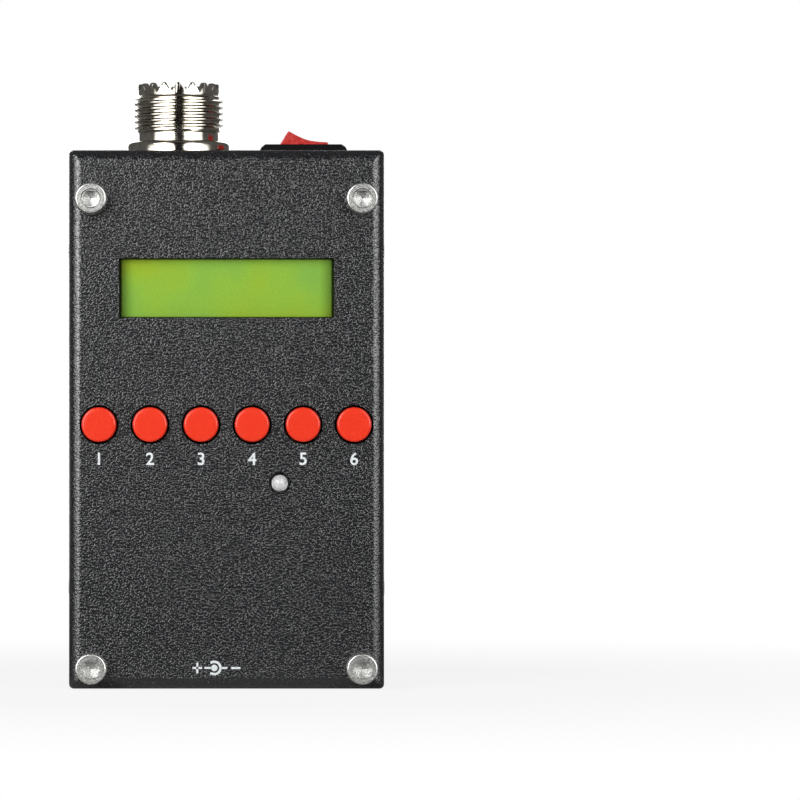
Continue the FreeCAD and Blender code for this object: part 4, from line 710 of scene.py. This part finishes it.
def cut_cross(screw, top, out, sizes):
    """Cuts the driver's cross into a side screw. It narrows as it sinks in."""
    thickness, narrowing = 2.0 * MM, 0.45
    only(None)
    block(top, (thickness, sizes.cross_slot, sizes.cross))
    cutter = added("cross_cutter")
    edit(cutter)
    block(top, (thickness, sizes.cross, sizes.cross_slot))
    pick(cutter, lambda v, at: (at - top).dot(out) < 0, "VERT")
    resize(1, narrowing, narrowing, top)
    only(screw)
    cut = screw.modifiers.new("Cross", "BOOLEAN")
    cut.operation = "DIFFERENCE"
    cut.solver = "EXACT"
    cut.use_self = True
    cut.object = cutter
    bpy.ops.object.modifier_apply(modifier=cut.name)
    bpy.data.objects.remove(cutter)


class ANALYZER_OT_side_screws(bpy.types.Operator):
    """Make the four low domed screws that hold the rear cover"""

    bl_idname = "analyzer.side_screws"
    bl_label = "Side screws"

    def execute(self, context):
        sizes = context.scene.analyzer_screws
        low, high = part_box("side_screws")
        radius = (high.y - low.y) / 2
        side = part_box("front_shell")[1].x
        # The dome's steps, each with its width and its rise, in millimetres
        dome = ((0.16, 0.2), (0.34, 0.2), (0.5, 0.13), (0.6, 0.07), (0.6, 0.03))
        head_height = sizes.dome_edge + sum(rise for _, rise in dome) * MM
        made = []
        for direction in (1, -1):
            for up in (high.z - radius, low.z + radius):
                base = Vector((direction * side, (high.y + low.y) / 2, up))
                out = Vector((direction, 0, 0))
                only(None)
                rod(48, radius, sizes.dome_edge, base + out * sizes.dome_edge / 2, (0, math.radians(90), 0))
                screw = added(f"side_screw_{len(made) + 1}")
                edit(screw)
                pick(screw, lambda f, at: f.normal.dot(out) > 0.9)
                for step, rise in dome:
                    inset(step * MM, -rise * MM)
                pick(screw, lambda f, at: f.normal.dot(out) < -0.9)
                inset(radius - sizes.shank_radius)
                extrude(x=-direction * sizes.side_length)
                cut_cross(screw, base + out * head_height, out, sizes)
                smooth(screw, 32)
                mark_face(screw, base, Vector((0, 1, 0)))
                dress(screw, "case", "bright_screw", "side_screw")
                made.append(screw)
        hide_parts("side_screws")
        return {"FINISHED"}


def notch_depth(sizes, column, steps):
    """How far the crown's top lies below the tips of its teeth, at a column of the barrel."""
    pitch = math.tau * sizes.crown / sizes.teeth
    # A tooth's middle is at column 0 of its steps, and a notch's is half way
    away = abs((column + steps / 2) % steps - steps / 2) / steps
    land = sizes.land / 2 / pitch
    # A tooth's top is very slightly crowned
    crowning = 0.03 * MM
    if away <= land:
        return crowning * away / land
    return sizes.tooth_depth * (away - land) / (0.5 - land)


def thread_rows(sizes, base):
    """Rows that climb by one pitch round the barrel, eight of them to a turn of the thread."""
    low, high = base + sizes.thread_low, base + sizes.thread_high
    # The thread lies a hair lower than whole turns above the foot
    lowered = 0.02 * MM
    # Each row's share of the pitch and of the thread's depth
    profile = ((-0.07, 1.0), (0.07, 1.0), (0.13, 0.86), (0.33, 0.14))
    profile += ((0.41, 0.0), (0.59, 0.0), (0.67, 0.14), (0.87, 0.86))
    rows = []
    for number in range(-1, math.ceil((high - low) / sizes.pitch) + 1):
        for phase, height in profile:
            start = low + (number + phase) * sizes.pitch - lowered
            radius = sizes.crest - sizes.thread_depth * (1 - height)

            def row(column, turn, start=start, radius=radius):
                up = min(max(start + sizes.pitch * turn, low), high)
                lower = sizes.crest - sizes.chamfer + (up - low)
                upper = sizes.crown + (high - up) * (sizes.crest - sizes.crown) / sizes.chamfer
                return min(radius, lower, upper), up

            rows.append(row)
    return rows


def socket_rows(sizes, steps):
    """The socket shell's rows from its foot up, over the crown and down the bore, as radius and height."""
    low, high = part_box("rf_socket_shell")
    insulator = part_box("rf_socket_insulator")
    bore = (insulator[1].x - insulator[0].x) / 2
    flange = (high.x - low.x) / 2
    base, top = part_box("front_shell")[1].z, high.z
    flange_top = base + sizes.flange_height
    thread_low, thread_high = base + sizes.thread_low, base + sizes.thread_high
    neck, crown, rounding, edge = sizes.neck, sizes.crown, sizes.flange_round, sizes.edge
    floor = base + 1.0 * MM
    rows = []

    def ring(radius, up, follow=0.0):
        """A row round the axis; follow says how much of the crown's notches it takes part in."""
        rows.append(lambda column, turn: (radius, up - follow * notch_depth(sizes, column, steps)))

    ring(sizes.back_bore, low.z)
    ring(sizes.stem, low.z)
    ring(sizes.stem, base)
    ring(flange, base)
    for degrees in (0, 20, 40, 60, 80, 90):
        angle = math.radians(degrees)
        ring(flange - rounding * (1 - math.cos(angle)), flange_top - rounding * (1 - math.sin(angle)))
    # The neck runs out into the flange and into the thread
    foot, head = 0.12 * MM, 0.1 * MM
    ring(neck + foot, flange_top)
    ring(neck, flange_top + foot)
    ring(neck, thread_low - head)
    ring(neck + head, thread_low)
    ring(sizes.crest - sizes.chamfer, thread_low)
    rows.extend(thread_rows(sizes, base))
    # A narrow groove with sloping sides parts the thread from the crown
    slope, width = 0.03 * MM, 0.12 * MM
    ring(crown - sizes.parting, thread_high + slope)
    ring(crown - sizes.parting, thread_high + width)
    ring(crown, thread_high + width + slope)
    # The notches end just above the thread, so their lowest edges are rounded less than the teeth
    shallow = 1 - 0.85 * edge / sizes.tooth_depth
    # Half way round a rounded edge, 0.3 of its width is cut off on both sides
    cut = 0.3 * edge
    ring(crown, top - edge, shallow)
    ring(crown - cut, top - cut, (1 + shallow) / 2)
    ring(crown - edge, top, 1)
    ring(bore + edge, top, 1)
    ring(bore + cut, top - cut, (1 + shallow) / 2)
    ring(bore, top - edge, shallow)
    # One row lies just under the insulator's face
    ring(bore, insulator[1].z - 0.2 * MM)
    ring(bore, floor)
    ring(sizes.back_bore, floor)
    ring(sizes.back_bore, low.z)
    return rows


class ANALYZER_OT_rf_socket(bpy.types.Operator):
    """Make the RF socket's shell: flange, neck, screw thread and toothed crown on one stem"""

    bl_idname = "analyzer.rf_socket"
    bl_label = "RF socket"

    def execute(self, context):
        sizes = context.scene.analyzer_socket
        centre = middle_of("rf_socket_shell")
        steps = 12
        columns = sizes.teeth * steps
        rows = socket_rows(sizes, steps)
        only(None)
        bpy.ops.mesh.primitive_grid_add(x_subdivisions=columns, y_subdivisions=len(rows) - 1, size=1)
        shell = added("threaded_socket_shell")
        # The flat grid is one unit wide, and is wrapped round the axis with column 0 in front
        for vertex in shell.data.vertices:
            column = round((vertex.co.x + 0.5) * columns)
            row = round((vertex.co.y + 0.5) * (len(rows) - 1))
            turn = column / columns
            radius, up = rows[row](column, turn)
            angle = math.tau * turn - math.pi / 2
            vertex.co = (centre.x + radius * math.cos(angle), centre.y + radius * math.sin(angle), up)
        edit(shell)
        bpy.ops.mesh.select_all(action="SELECT")
        bpy.ops.mesh.remove_doubles(threshold=2 * TOUCH)
        bpy.ops.mesh.dissolve_degenerate(threshold=TOUCH / 2)
        face_outward()
        smooth(shell, 33)
        dress(shell, "case", "nickel", "nickel", "rf_socket_shell")
        return {"FINISHED"}


def paddle_outline():
    """The paddle's side view in millimetres from its axle, with a hollow for the finger."""
    tip, tip_up, dip, steps = 3.56, 3.18, 2.57, 8
    right = [(1.4, -4.6), (1.4, -1.6), (4.2, -1.6), (4.45, 0.45), (3.78, 2.83), (3.66, 3.06)]
    for step in range(steps):
        share = 1 - step / steps
        right.append((tip * share, dip + (tip_up - dip) * share**1.6))
    return right + [(0.0, dip)] + [(-x, z) for x, z in reversed(right)]


class ANALYZER_OT_rocker(bpy.types.Operator):
    """Make the rocker switch: its bezel and the paddle with a hollow for the finger"""

    bl_idname = "analyzer.rocker"
    bl_label = "Rocker switch"

    def execute(self, context):
        sizes = context.scene.analyzer_controls
        bezel = merged_copy("rocker_housing", "rocker_bezel")
        ease_edges(bezel, sizes.bezel_edge, 2, 25)
        dress(bezel, "case", "black_plastic", "black_plastic", "rocker_housing")

        pivot = Vector((middle_of("rocker_housing").x, 0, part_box("front_shell")[1].z))
        width = sizes.paddle_width
        outline = paddle_outline()
        only(None)
        bpy.ops.mesh.primitive_circle_add(vertices=len(outline), radius=1 * MM, location=(0, 0, 0))
        paddle = added("rocker_finger_plate")
        tilt = math.radians(16)
        for vertex, (x, z) in zip(paddle.data.vertices, outline):
            across = x * math.cos(tilt) + z * math.sin(tilt)
            up = z * math.cos(tilt) - x * math.sin(tilt)
            vertex.co = pivot + Vector((across, 0, up)) * MM + FRONT * width / 2
        edit(paddle)
        bpy.ops.mesh.select_all(action="SELECT")
        bpy.ops.mesh.edge_face_add()
        extrude(y=width)
        face_outward()
        ease_edges(paddle, sizes.paddle_edge, 3, 35)
        # Two stub axles turn in the housing's sides
        low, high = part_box("rocker_paddle")
        reach = (high.y - low.y) / 2
        for side in (1, -1):
            edit(paddle)
            rod(32, sizes.axle, reach - width / 2, pivot + Vector((0, side * (reach + width / 2) / 2, 0)))
            only(paddle)
        dress(paddle, "rocker", "red_paddle", "red_paddle", "rocker_paddle")
        return {"FINISHED"}


class ANALYZER_OT_buttons(bpy.types.Operator):
    """Make the six round button caps"""

    bl_idname = "analyzer.buttons"
    bl_label = "Button caps"

    def execute(self, context):
        sizes = context.scene.analyzer_controls
        low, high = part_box("button_cap_1")
        length = high.y - low.y
        up = middle_of("button_cap_1").z
        spots = [Vector((middle_of(f"button_cap_{number}").x, low.y, up)) for number in BUTTONS]
        only(None)
        rod(64, (high.x - low.x) / 2, length, spots[0] - FRONT * length / 2)
        cap = added("round_cap_1")
        corner = sizes.stem_socket / math.sqrt(2)
        drive_hole(cap, spots[0] - FRONT * length, -FRONT, 4, corner, sizes.stem_depth)
        edit(cap)
        pick(cap, lambda e, at: abs(at.y - low.y) < TOUCH, "EDGE")
        round_picked(sizes.cap_edge, 5)
        # The cap tapers towards its face, so that it leaves its mould
        taper = 0.955
        pick(cap, lambda v, at: at.y < low.y + sizes.cap_edge * 1.01, "VERT")
        resize(taper, 1, taper, spots[0])
        # The face is very slightly hollow, in two steps
        pick(cap, lambda f, at: f.normal.y < -0.99 and abs(at.y - low.y) < TOUCH)
        for _ in range(2):
            inset(0.9 * MM, 0.02 * MM)
        smooth(cap, 35)
        for number, piece in zip(BUTTONS, copies(cap, spots)):
            dress(piece, f"button_{number}", "red_cap", "red_cap", f"button_cap_{number}")
        return {"FINISHED"}


class ANALYZER_OT_light(bpy.types.Operator):
    """Make the charge light: a clear lens over a silvered cup"""

    bl_idname = "analyzer.light"
    bl_label = "Charge light"

    def execute(self, context):
        sizes = context.scene.analyzer_controls
        low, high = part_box("charge_led")
        radius, foot = sizes.lens_radius, high.y - sizes.lens_rim
        wider = (high.x - low.x) / 2 / radius
        centre = Vector(((low.x + high.x) / 2, low.y + radius, (low.z + high.z) / 2))
        only(None)
        ball = {"segments": 48, "ring_count": 24, "radius": radius}
        bpy.ops.mesh.primitive_uv_sphere_add(location=centre, rotation=ALONG_DEPTH, **ball)
        lens = added("light_lens")
        edit(lens)
        pick(lens, lambda f, at: at.y > centre.y)
        bpy.ops.mesh.delete(type="FACE")
        pick(lens, lambda e, at: e.is_boundary, "EDGE")
        extrude(y=foot - centre.y)
        extrude()
        resize(wider, 1, wider, (centre.x, foot, centre.z))
        extrude(y=high.y - foot)
        bpy.ops.mesh.edge_face_add()
        face_outward()
        smooth(lens, 40)
        dress(lens, "case", "clear_lens", "clear_lens", "charge_led")
        # The cup stands inside the lens: a thin rim round a dish with a low step in its middle
        rim, behind = 0.12 * MM, 1.3 * MM
        only(None)
        rod(32, sizes.cup_radius, sizes.cup_height, centre - FRONT * behind)
        cup = added("light_cup")
        edit(cup)
        pick(cup, lambda f, at: f.normal.y < -0.9)
        inset(rim)
        inset(0.4 * MM, 0.35 * MM)
        inset(rim)
        extrude(y=-rim)
        smooth(cup, 35)
        dress(cup, "case", "silvered_brass", "cup")
        return {"FINISHED"}


def print_number(number, sizes, face):
    capital_share = 0.73
    only(None)
    bpy.ops.object.text_add(rotation=ALONG_DEPTH)
    figure = bpy.context.object
    figure.data.body = str(number)
    figure.data.align_x, figure.data.align_y = "CENTER", "CENTER"
    figure.data.size = sizes.figure / capital_share
    figure.data.extrude = sizes.film / 2
    figure.data.offset = sizes.bold
    bpy.ops.object.convert(target="MESH")
    corners = [v.co for v in figure.data.vertices]
    across, up, _ = [(min(c[i] for c in corners) + max(c[i] for c in corners)) / 2 for i in range(3)]
    spot = Vector((middle_of(f"button_cap_{number}").x, face - sizes.film / 2, sizes.label_up))
    figure.location = spot - Vector((across, 0, up))
    figure = added(f"printed_number_{number}")
    edit(figure)
    bpy.ops.mesh.select_all(action="SELECT")
    bpy.ops.mesh.remove_doubles(threshold=0.2 * TOUCH)
    face_outward()
    only(figure)
    dress(figure, "case", "white_plastic", "ink")


def print_polarity(sizes, face):
    """A dot in an open ring, for the inlet's centre contact, between a plus and a minus."""
    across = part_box("dc_jack_body")[1].x + sizes.symbol_aside
    centre = Vector((across, face - sizes.film / 2, sizes.symbol_up))
    only(None)
    rod(48, sizes.symbol_radius, sizes.film, centre)
    symbol = added("printed_polarity")
    edit(symbol)
    pick(symbol, lambda f, at: abs(f.normal.y) > 0.9)
    inset(sizes.stroke)
    bpy.ops.mesh.bridge_edge_loops()
    # The ring is open to the left, where the line of the centre contact goes in
    opening = 0.62
    pick(symbol, lambda f, at: at.x - centre.x < -opening * (at - centre).length)
    bpy.ops.mesh.delete(type="FACE")
    bpy.ops.mesh.select_all(action="SELECT")
    bpy.ops.mesh.fill_holes(sides=4)
    rod(24, sizes.symbol_dot, sizes.film, centre)
    # Both bars of the plus, the contact's line, the ring's line and the minus: each one's place, width and
    # height in millimetres
    bars = (
        (-2.95, 1.65, 0.37),
        (-2.95, 0.37, 1.85),
        (-1.1, 1.25, 0.35),
        (1.75, 1.05, 0.35),
        (3.75, 1.6, 0.37),
    )
    for x, wide, tall in bars:
        block(centre + Vector((x * MM, 0, 0)), (wide * MM, sizes.film, tall * MM))
    only(symbol)
    dress(symbol, "case", "white_plastic", "ink")


class ANALYZER_OT_print(bpy.types.Operator):
    """Print plain numbers under the buttons and a polarity symbol above the charge socket"""

    bl_idname = "analyzer.print"
    bl_label = "Printed marks"

    def execute(self, context):
        sizes = context.scene.analyzer_print
        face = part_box("front_shell")[0].y
        for number in BUTTONS:
            print_number(number, sizes, face)
        print_polarity(sizes, face)
        return {"FINISHED"}


# ------------------------------------------------------------------------------------------- the stage


def pale_floor(sizes):
    # White paper that takes the object's shadow near it and fades into the white background further off
    made, tree = new_finish("pale_floor")
    spot = node(tree, "TexCoord").outputs["Object"]
    reach = node(tree, "VectorMath", [spot], operation="LENGTH").outputs["Value"]
    share = node(tree, "MapRange", (reach, 0.07, 0.2, 0.86, 1.0))
    ray = node(tree, "LightPath").outputs
    glossy = ray["Is Glossy Ray"]
    # Gloss sees it white far behind the object, and dark elsewhere, as where a black card lies
    depth = node(tree, "SeparateXYZ", [spot]).outputs[1]
    behind = node(tree, "MapRange", (depth, 0.3, 0.6))
    far = node(tree, "Math", (glossy, behind), operation="MULTIPLY")
    straight = node(tree, "Math", (ray["Is Camera Ray"], ray["Is Transmission Ray"]), operation="ADD")
    seen = node(tree, "Math", (straight, far), operation="ADD", use_clamp=True)
    amount = node(tree, "Math", (seen, share), operation="MULTIPLY")
    card = node(tree, "Math", (glossy, far), operation="SUBTRACT", use_clamp=True)
    # The card leaves a strip of the floor bare before the case, which lights up its lower edge
    bare = node(tree, "Math", (depth, -0.02, 0.014), operation="COMPARE")
    shade = node(tree, "MapRange", (bare, 0, 1, sizes.card, 0.7))
    paleness = node(tree, "Mix", {0: card, 2: 0.85, 3: shade})
    cloth = node(tree, "BsdfDiffuse", {"Color": paleness})
    white = node(tree, "Emission", {"Color": (1, 1, 1, 1), "Strength": 1.0})
    both = node(tree, "MixShader", (amount, cloth, white))
    # A camera under the floor looks through it at the bottom wall
    under = node(tree, "NewGeometry").outputs["Backfacing"]
    surface = node(tree, "MixShader", (under, both, node(tree, "BsdfTransparent")))
    node(tree, "OutputMaterial", {"Surface": surface})
    return made


def make_floor(sizes):
    only(None)
    # The floor lies a hair under the case, so that the two faces don't share a plane
    bpy.ops.mesh.primitive_plane_add(size=6, location=(0, 0, -0.05 * MM))
    floor = added("floor")
    floor.data.materials.append(pale_floor(sizes))


def make_world(sizes):
    """Surroundings that the camera sees as white and that gloss sees as a studio."""
    world = bpy.data.worlds.new("studio")
    bpy.context.scene.world = world
    tree = empty_tree(world)
    ray = node(tree, "LightPath").outputs
    across, along, up = node(tree, "SeparateXYZ", [node(tree, "TexCoord").outputs["Generated"]]).outputs
    aside = node(tree, "Math", [across], operation="ABSOLUTE")
    rise = node(tree, "Math", [up], operation="ABSOLUTE")
    # Before the object hangs a pale cloth with a dark upright gap in the middle; beside it is a dim room
    cloth = node(tree, "MapRange", (aside, 0.2, 0.34, 0.02, sizes.tent))
    beside = node(tree, "MapRange", (along, -0.72, -0.25))
    before = node(tree, "Mix", {0: beside, 2: cloth, 3: sizes.room})
    # Two bright panels at the sides, level with the object, light up the rounded edges of the case
    inner = node(tree, "MapRange", (aside, 0.4, 0.6))
    outer = node(tree, "MapRange", (along, -0.5, -0.25, sizes.panels, 0.0))
    height = node(tree, "MapRange", (rise, 0.1, 0.22, 1.0, 0.0))
    extent = node(tree, "Math", (inner, height), operation="MULTIPLY")
    panels = node(tree, "Math", (extent, outer, before), operation="MULTIPLY_ADD")
    # Straight behind is a white wall, with a dark spot in its middle that the rear cover looks at
    ring = node(tree, "MapRange", (along, 0.93, 0.97))
    middle = node(tree, "MapRange", (along, 0.98, 0.993, 1.0, 0.05))
    wall = node(tree, "Math", (ring, middle), operation="MULTIPLY")
    room = node(tree, "Mix", {0: wall, 2: panels, 3: 1.0})
    gloss = node(tree, "Math", (ray["Is Glossy Ray"], ray["Is Transmission Ray"]), operation="MAXIMUM")
    soft = node(tree, "Mix", {0: gloss, 2: sizes.ambient, 3: room})
    strength = node(tree, "Mix", {0: ray["Is Camera Ray"], 2: soft, 3: 1.0})
    sky = node(tree, "Background", {"Color": (1, 1, 1, 1), "Strength": strength})
    node(tree, "OutputWorld", {"Surface": sky})


def make_lights(sizes):
    """Softboxes that face the object's upright axis: name, place, width and height, and power."""
    lights = (
        ("left_softbox", (-0.36, -0.50, 0.30), (0.38, 0.56), sizes.left_box),
        ("right_softbox", (0.64, -0.90, 0.42), (0.66, 0.84), sizes.right_box),
        ("rear_left_softbox", (-0.27, 1.10, 0.45), (0.2, 0.9), sizes.rear_boxes),
        ("rear_right_softbox", (0.27, 1.10, 0.45), (0.2, 0.9), sizes.rear_boxes),
    )
    for name, place, extent, power in lights:
        only(None)
        aim = Vector((-place[0], -place[1], 0)).to_track_quat("-Z", "Z").to_euler()
        bpy.ops.object.light_add(type="AREA", location=place, rotation=aim)
        box = bpy.context.object
        box.name = box.data.name = name
        box.data.shape = "RECTANGLE"
        box.data.size, box.data.size_y = extent
        box.data.energy = power
        box.visible_camera = False


def make_camera(sizes):
    only(None)
    spot = (0, -sizes.camera_back, sizes.camera_up)
    bpy.ops.object.camera_add(location=spot, rotation=ALONG_DEPTH)
    camera = bpy.context.object
    camera.name = camera.data.name = "front_camera"
    camera.data.lens = sizes.lens
    camera.data.sensor_width = 36
    camera.data.shift_x = sizes.shift_x
    camera.data.shift_y = sizes.shift_y
    bpy.context.scene.camera = camera


class ANALYZER_OT_stage(bpy.types.Operator):
    """Set up the pale floor, the white surroundings, the soft lights and the camera"""

    bl_idname = "analyzer.stage"
    bl_label = "Stage"

    def execute(self, context):
        context.scene.view_settings.view_transform = "Standard"
        for make in (make_floor, make_world, make_lights, make_camera):
            make(context.scene.analyzer_stage)
        return {"FINISHED"}


SETTINGS = {
    "analyzer_case": CaseSizes,
    "analyzer_screws": ScrewSizes,
    "analyzer_socket": SocketSizes,
    "analyzer_controls": ControlSizes,
    "analyzer_print": PrintSizes,
    "analyzer_colours": Colours,
    "analyzer_stage": StageSizes,
}
STEPS = (
    ANALYZER_OT_stage,
    ANALYZER_OT_finishes,
    ANALYZER_OT_case,
    ANALYZER_OT_front_screws,
    ANALYZER_OT_side_screws,
    ANALYZER_OT_rf_socket,
    ANALYZER_OT_rocker,
    ANALYZER_OT_buttons,
    ANALYZER_OT_light,
    ANALYZER_OT_print,
)


class ANALYZER_PT_pieces(bpy.types.Panel):
    """Lists the pieces and their sizes"""

    bl_idname = "ANALYZER_PT_pieces"
    bl_label = "Antenna analyzer"
    bl_space_type = "VIEW_3D"
    bl_region_type = "UI"
    bl_category = "Analyzer"

    def draw(self, context):
        for step in STEPS:
            self.layout.operator(step.bl_idname)
        for name, group in SETTINGS.items():
            box = self.layout.box()
            for key in group.__annotations__:
                box.prop(getattr(context.scene, name), key)


def register():
    for group in (*SETTINGS.values(), *STEPS, ANALYZER_PT_pieces):
        bpy.utils.register_class(group)
    for name, group in SETTINGS.items():
        setattr(bpy.types.Scene, name, PointerProperty(type=group))


def unregister():
    for name in SETTINGS:
        delattr(bpy.types.Scene, name)
    for group in reversed((*SETTINGS.values(), *STEPS, ANALYZER_PT_pieces)):
        bpy.utils.unregister_class(group)


def main():
    register()
    for step in STEPS:
        group, name = step.bl_idname.split(".")
        getattr(getattr(bpy.ops, group), name)()
    only(None)


if __name__ == "__main__":
    main()
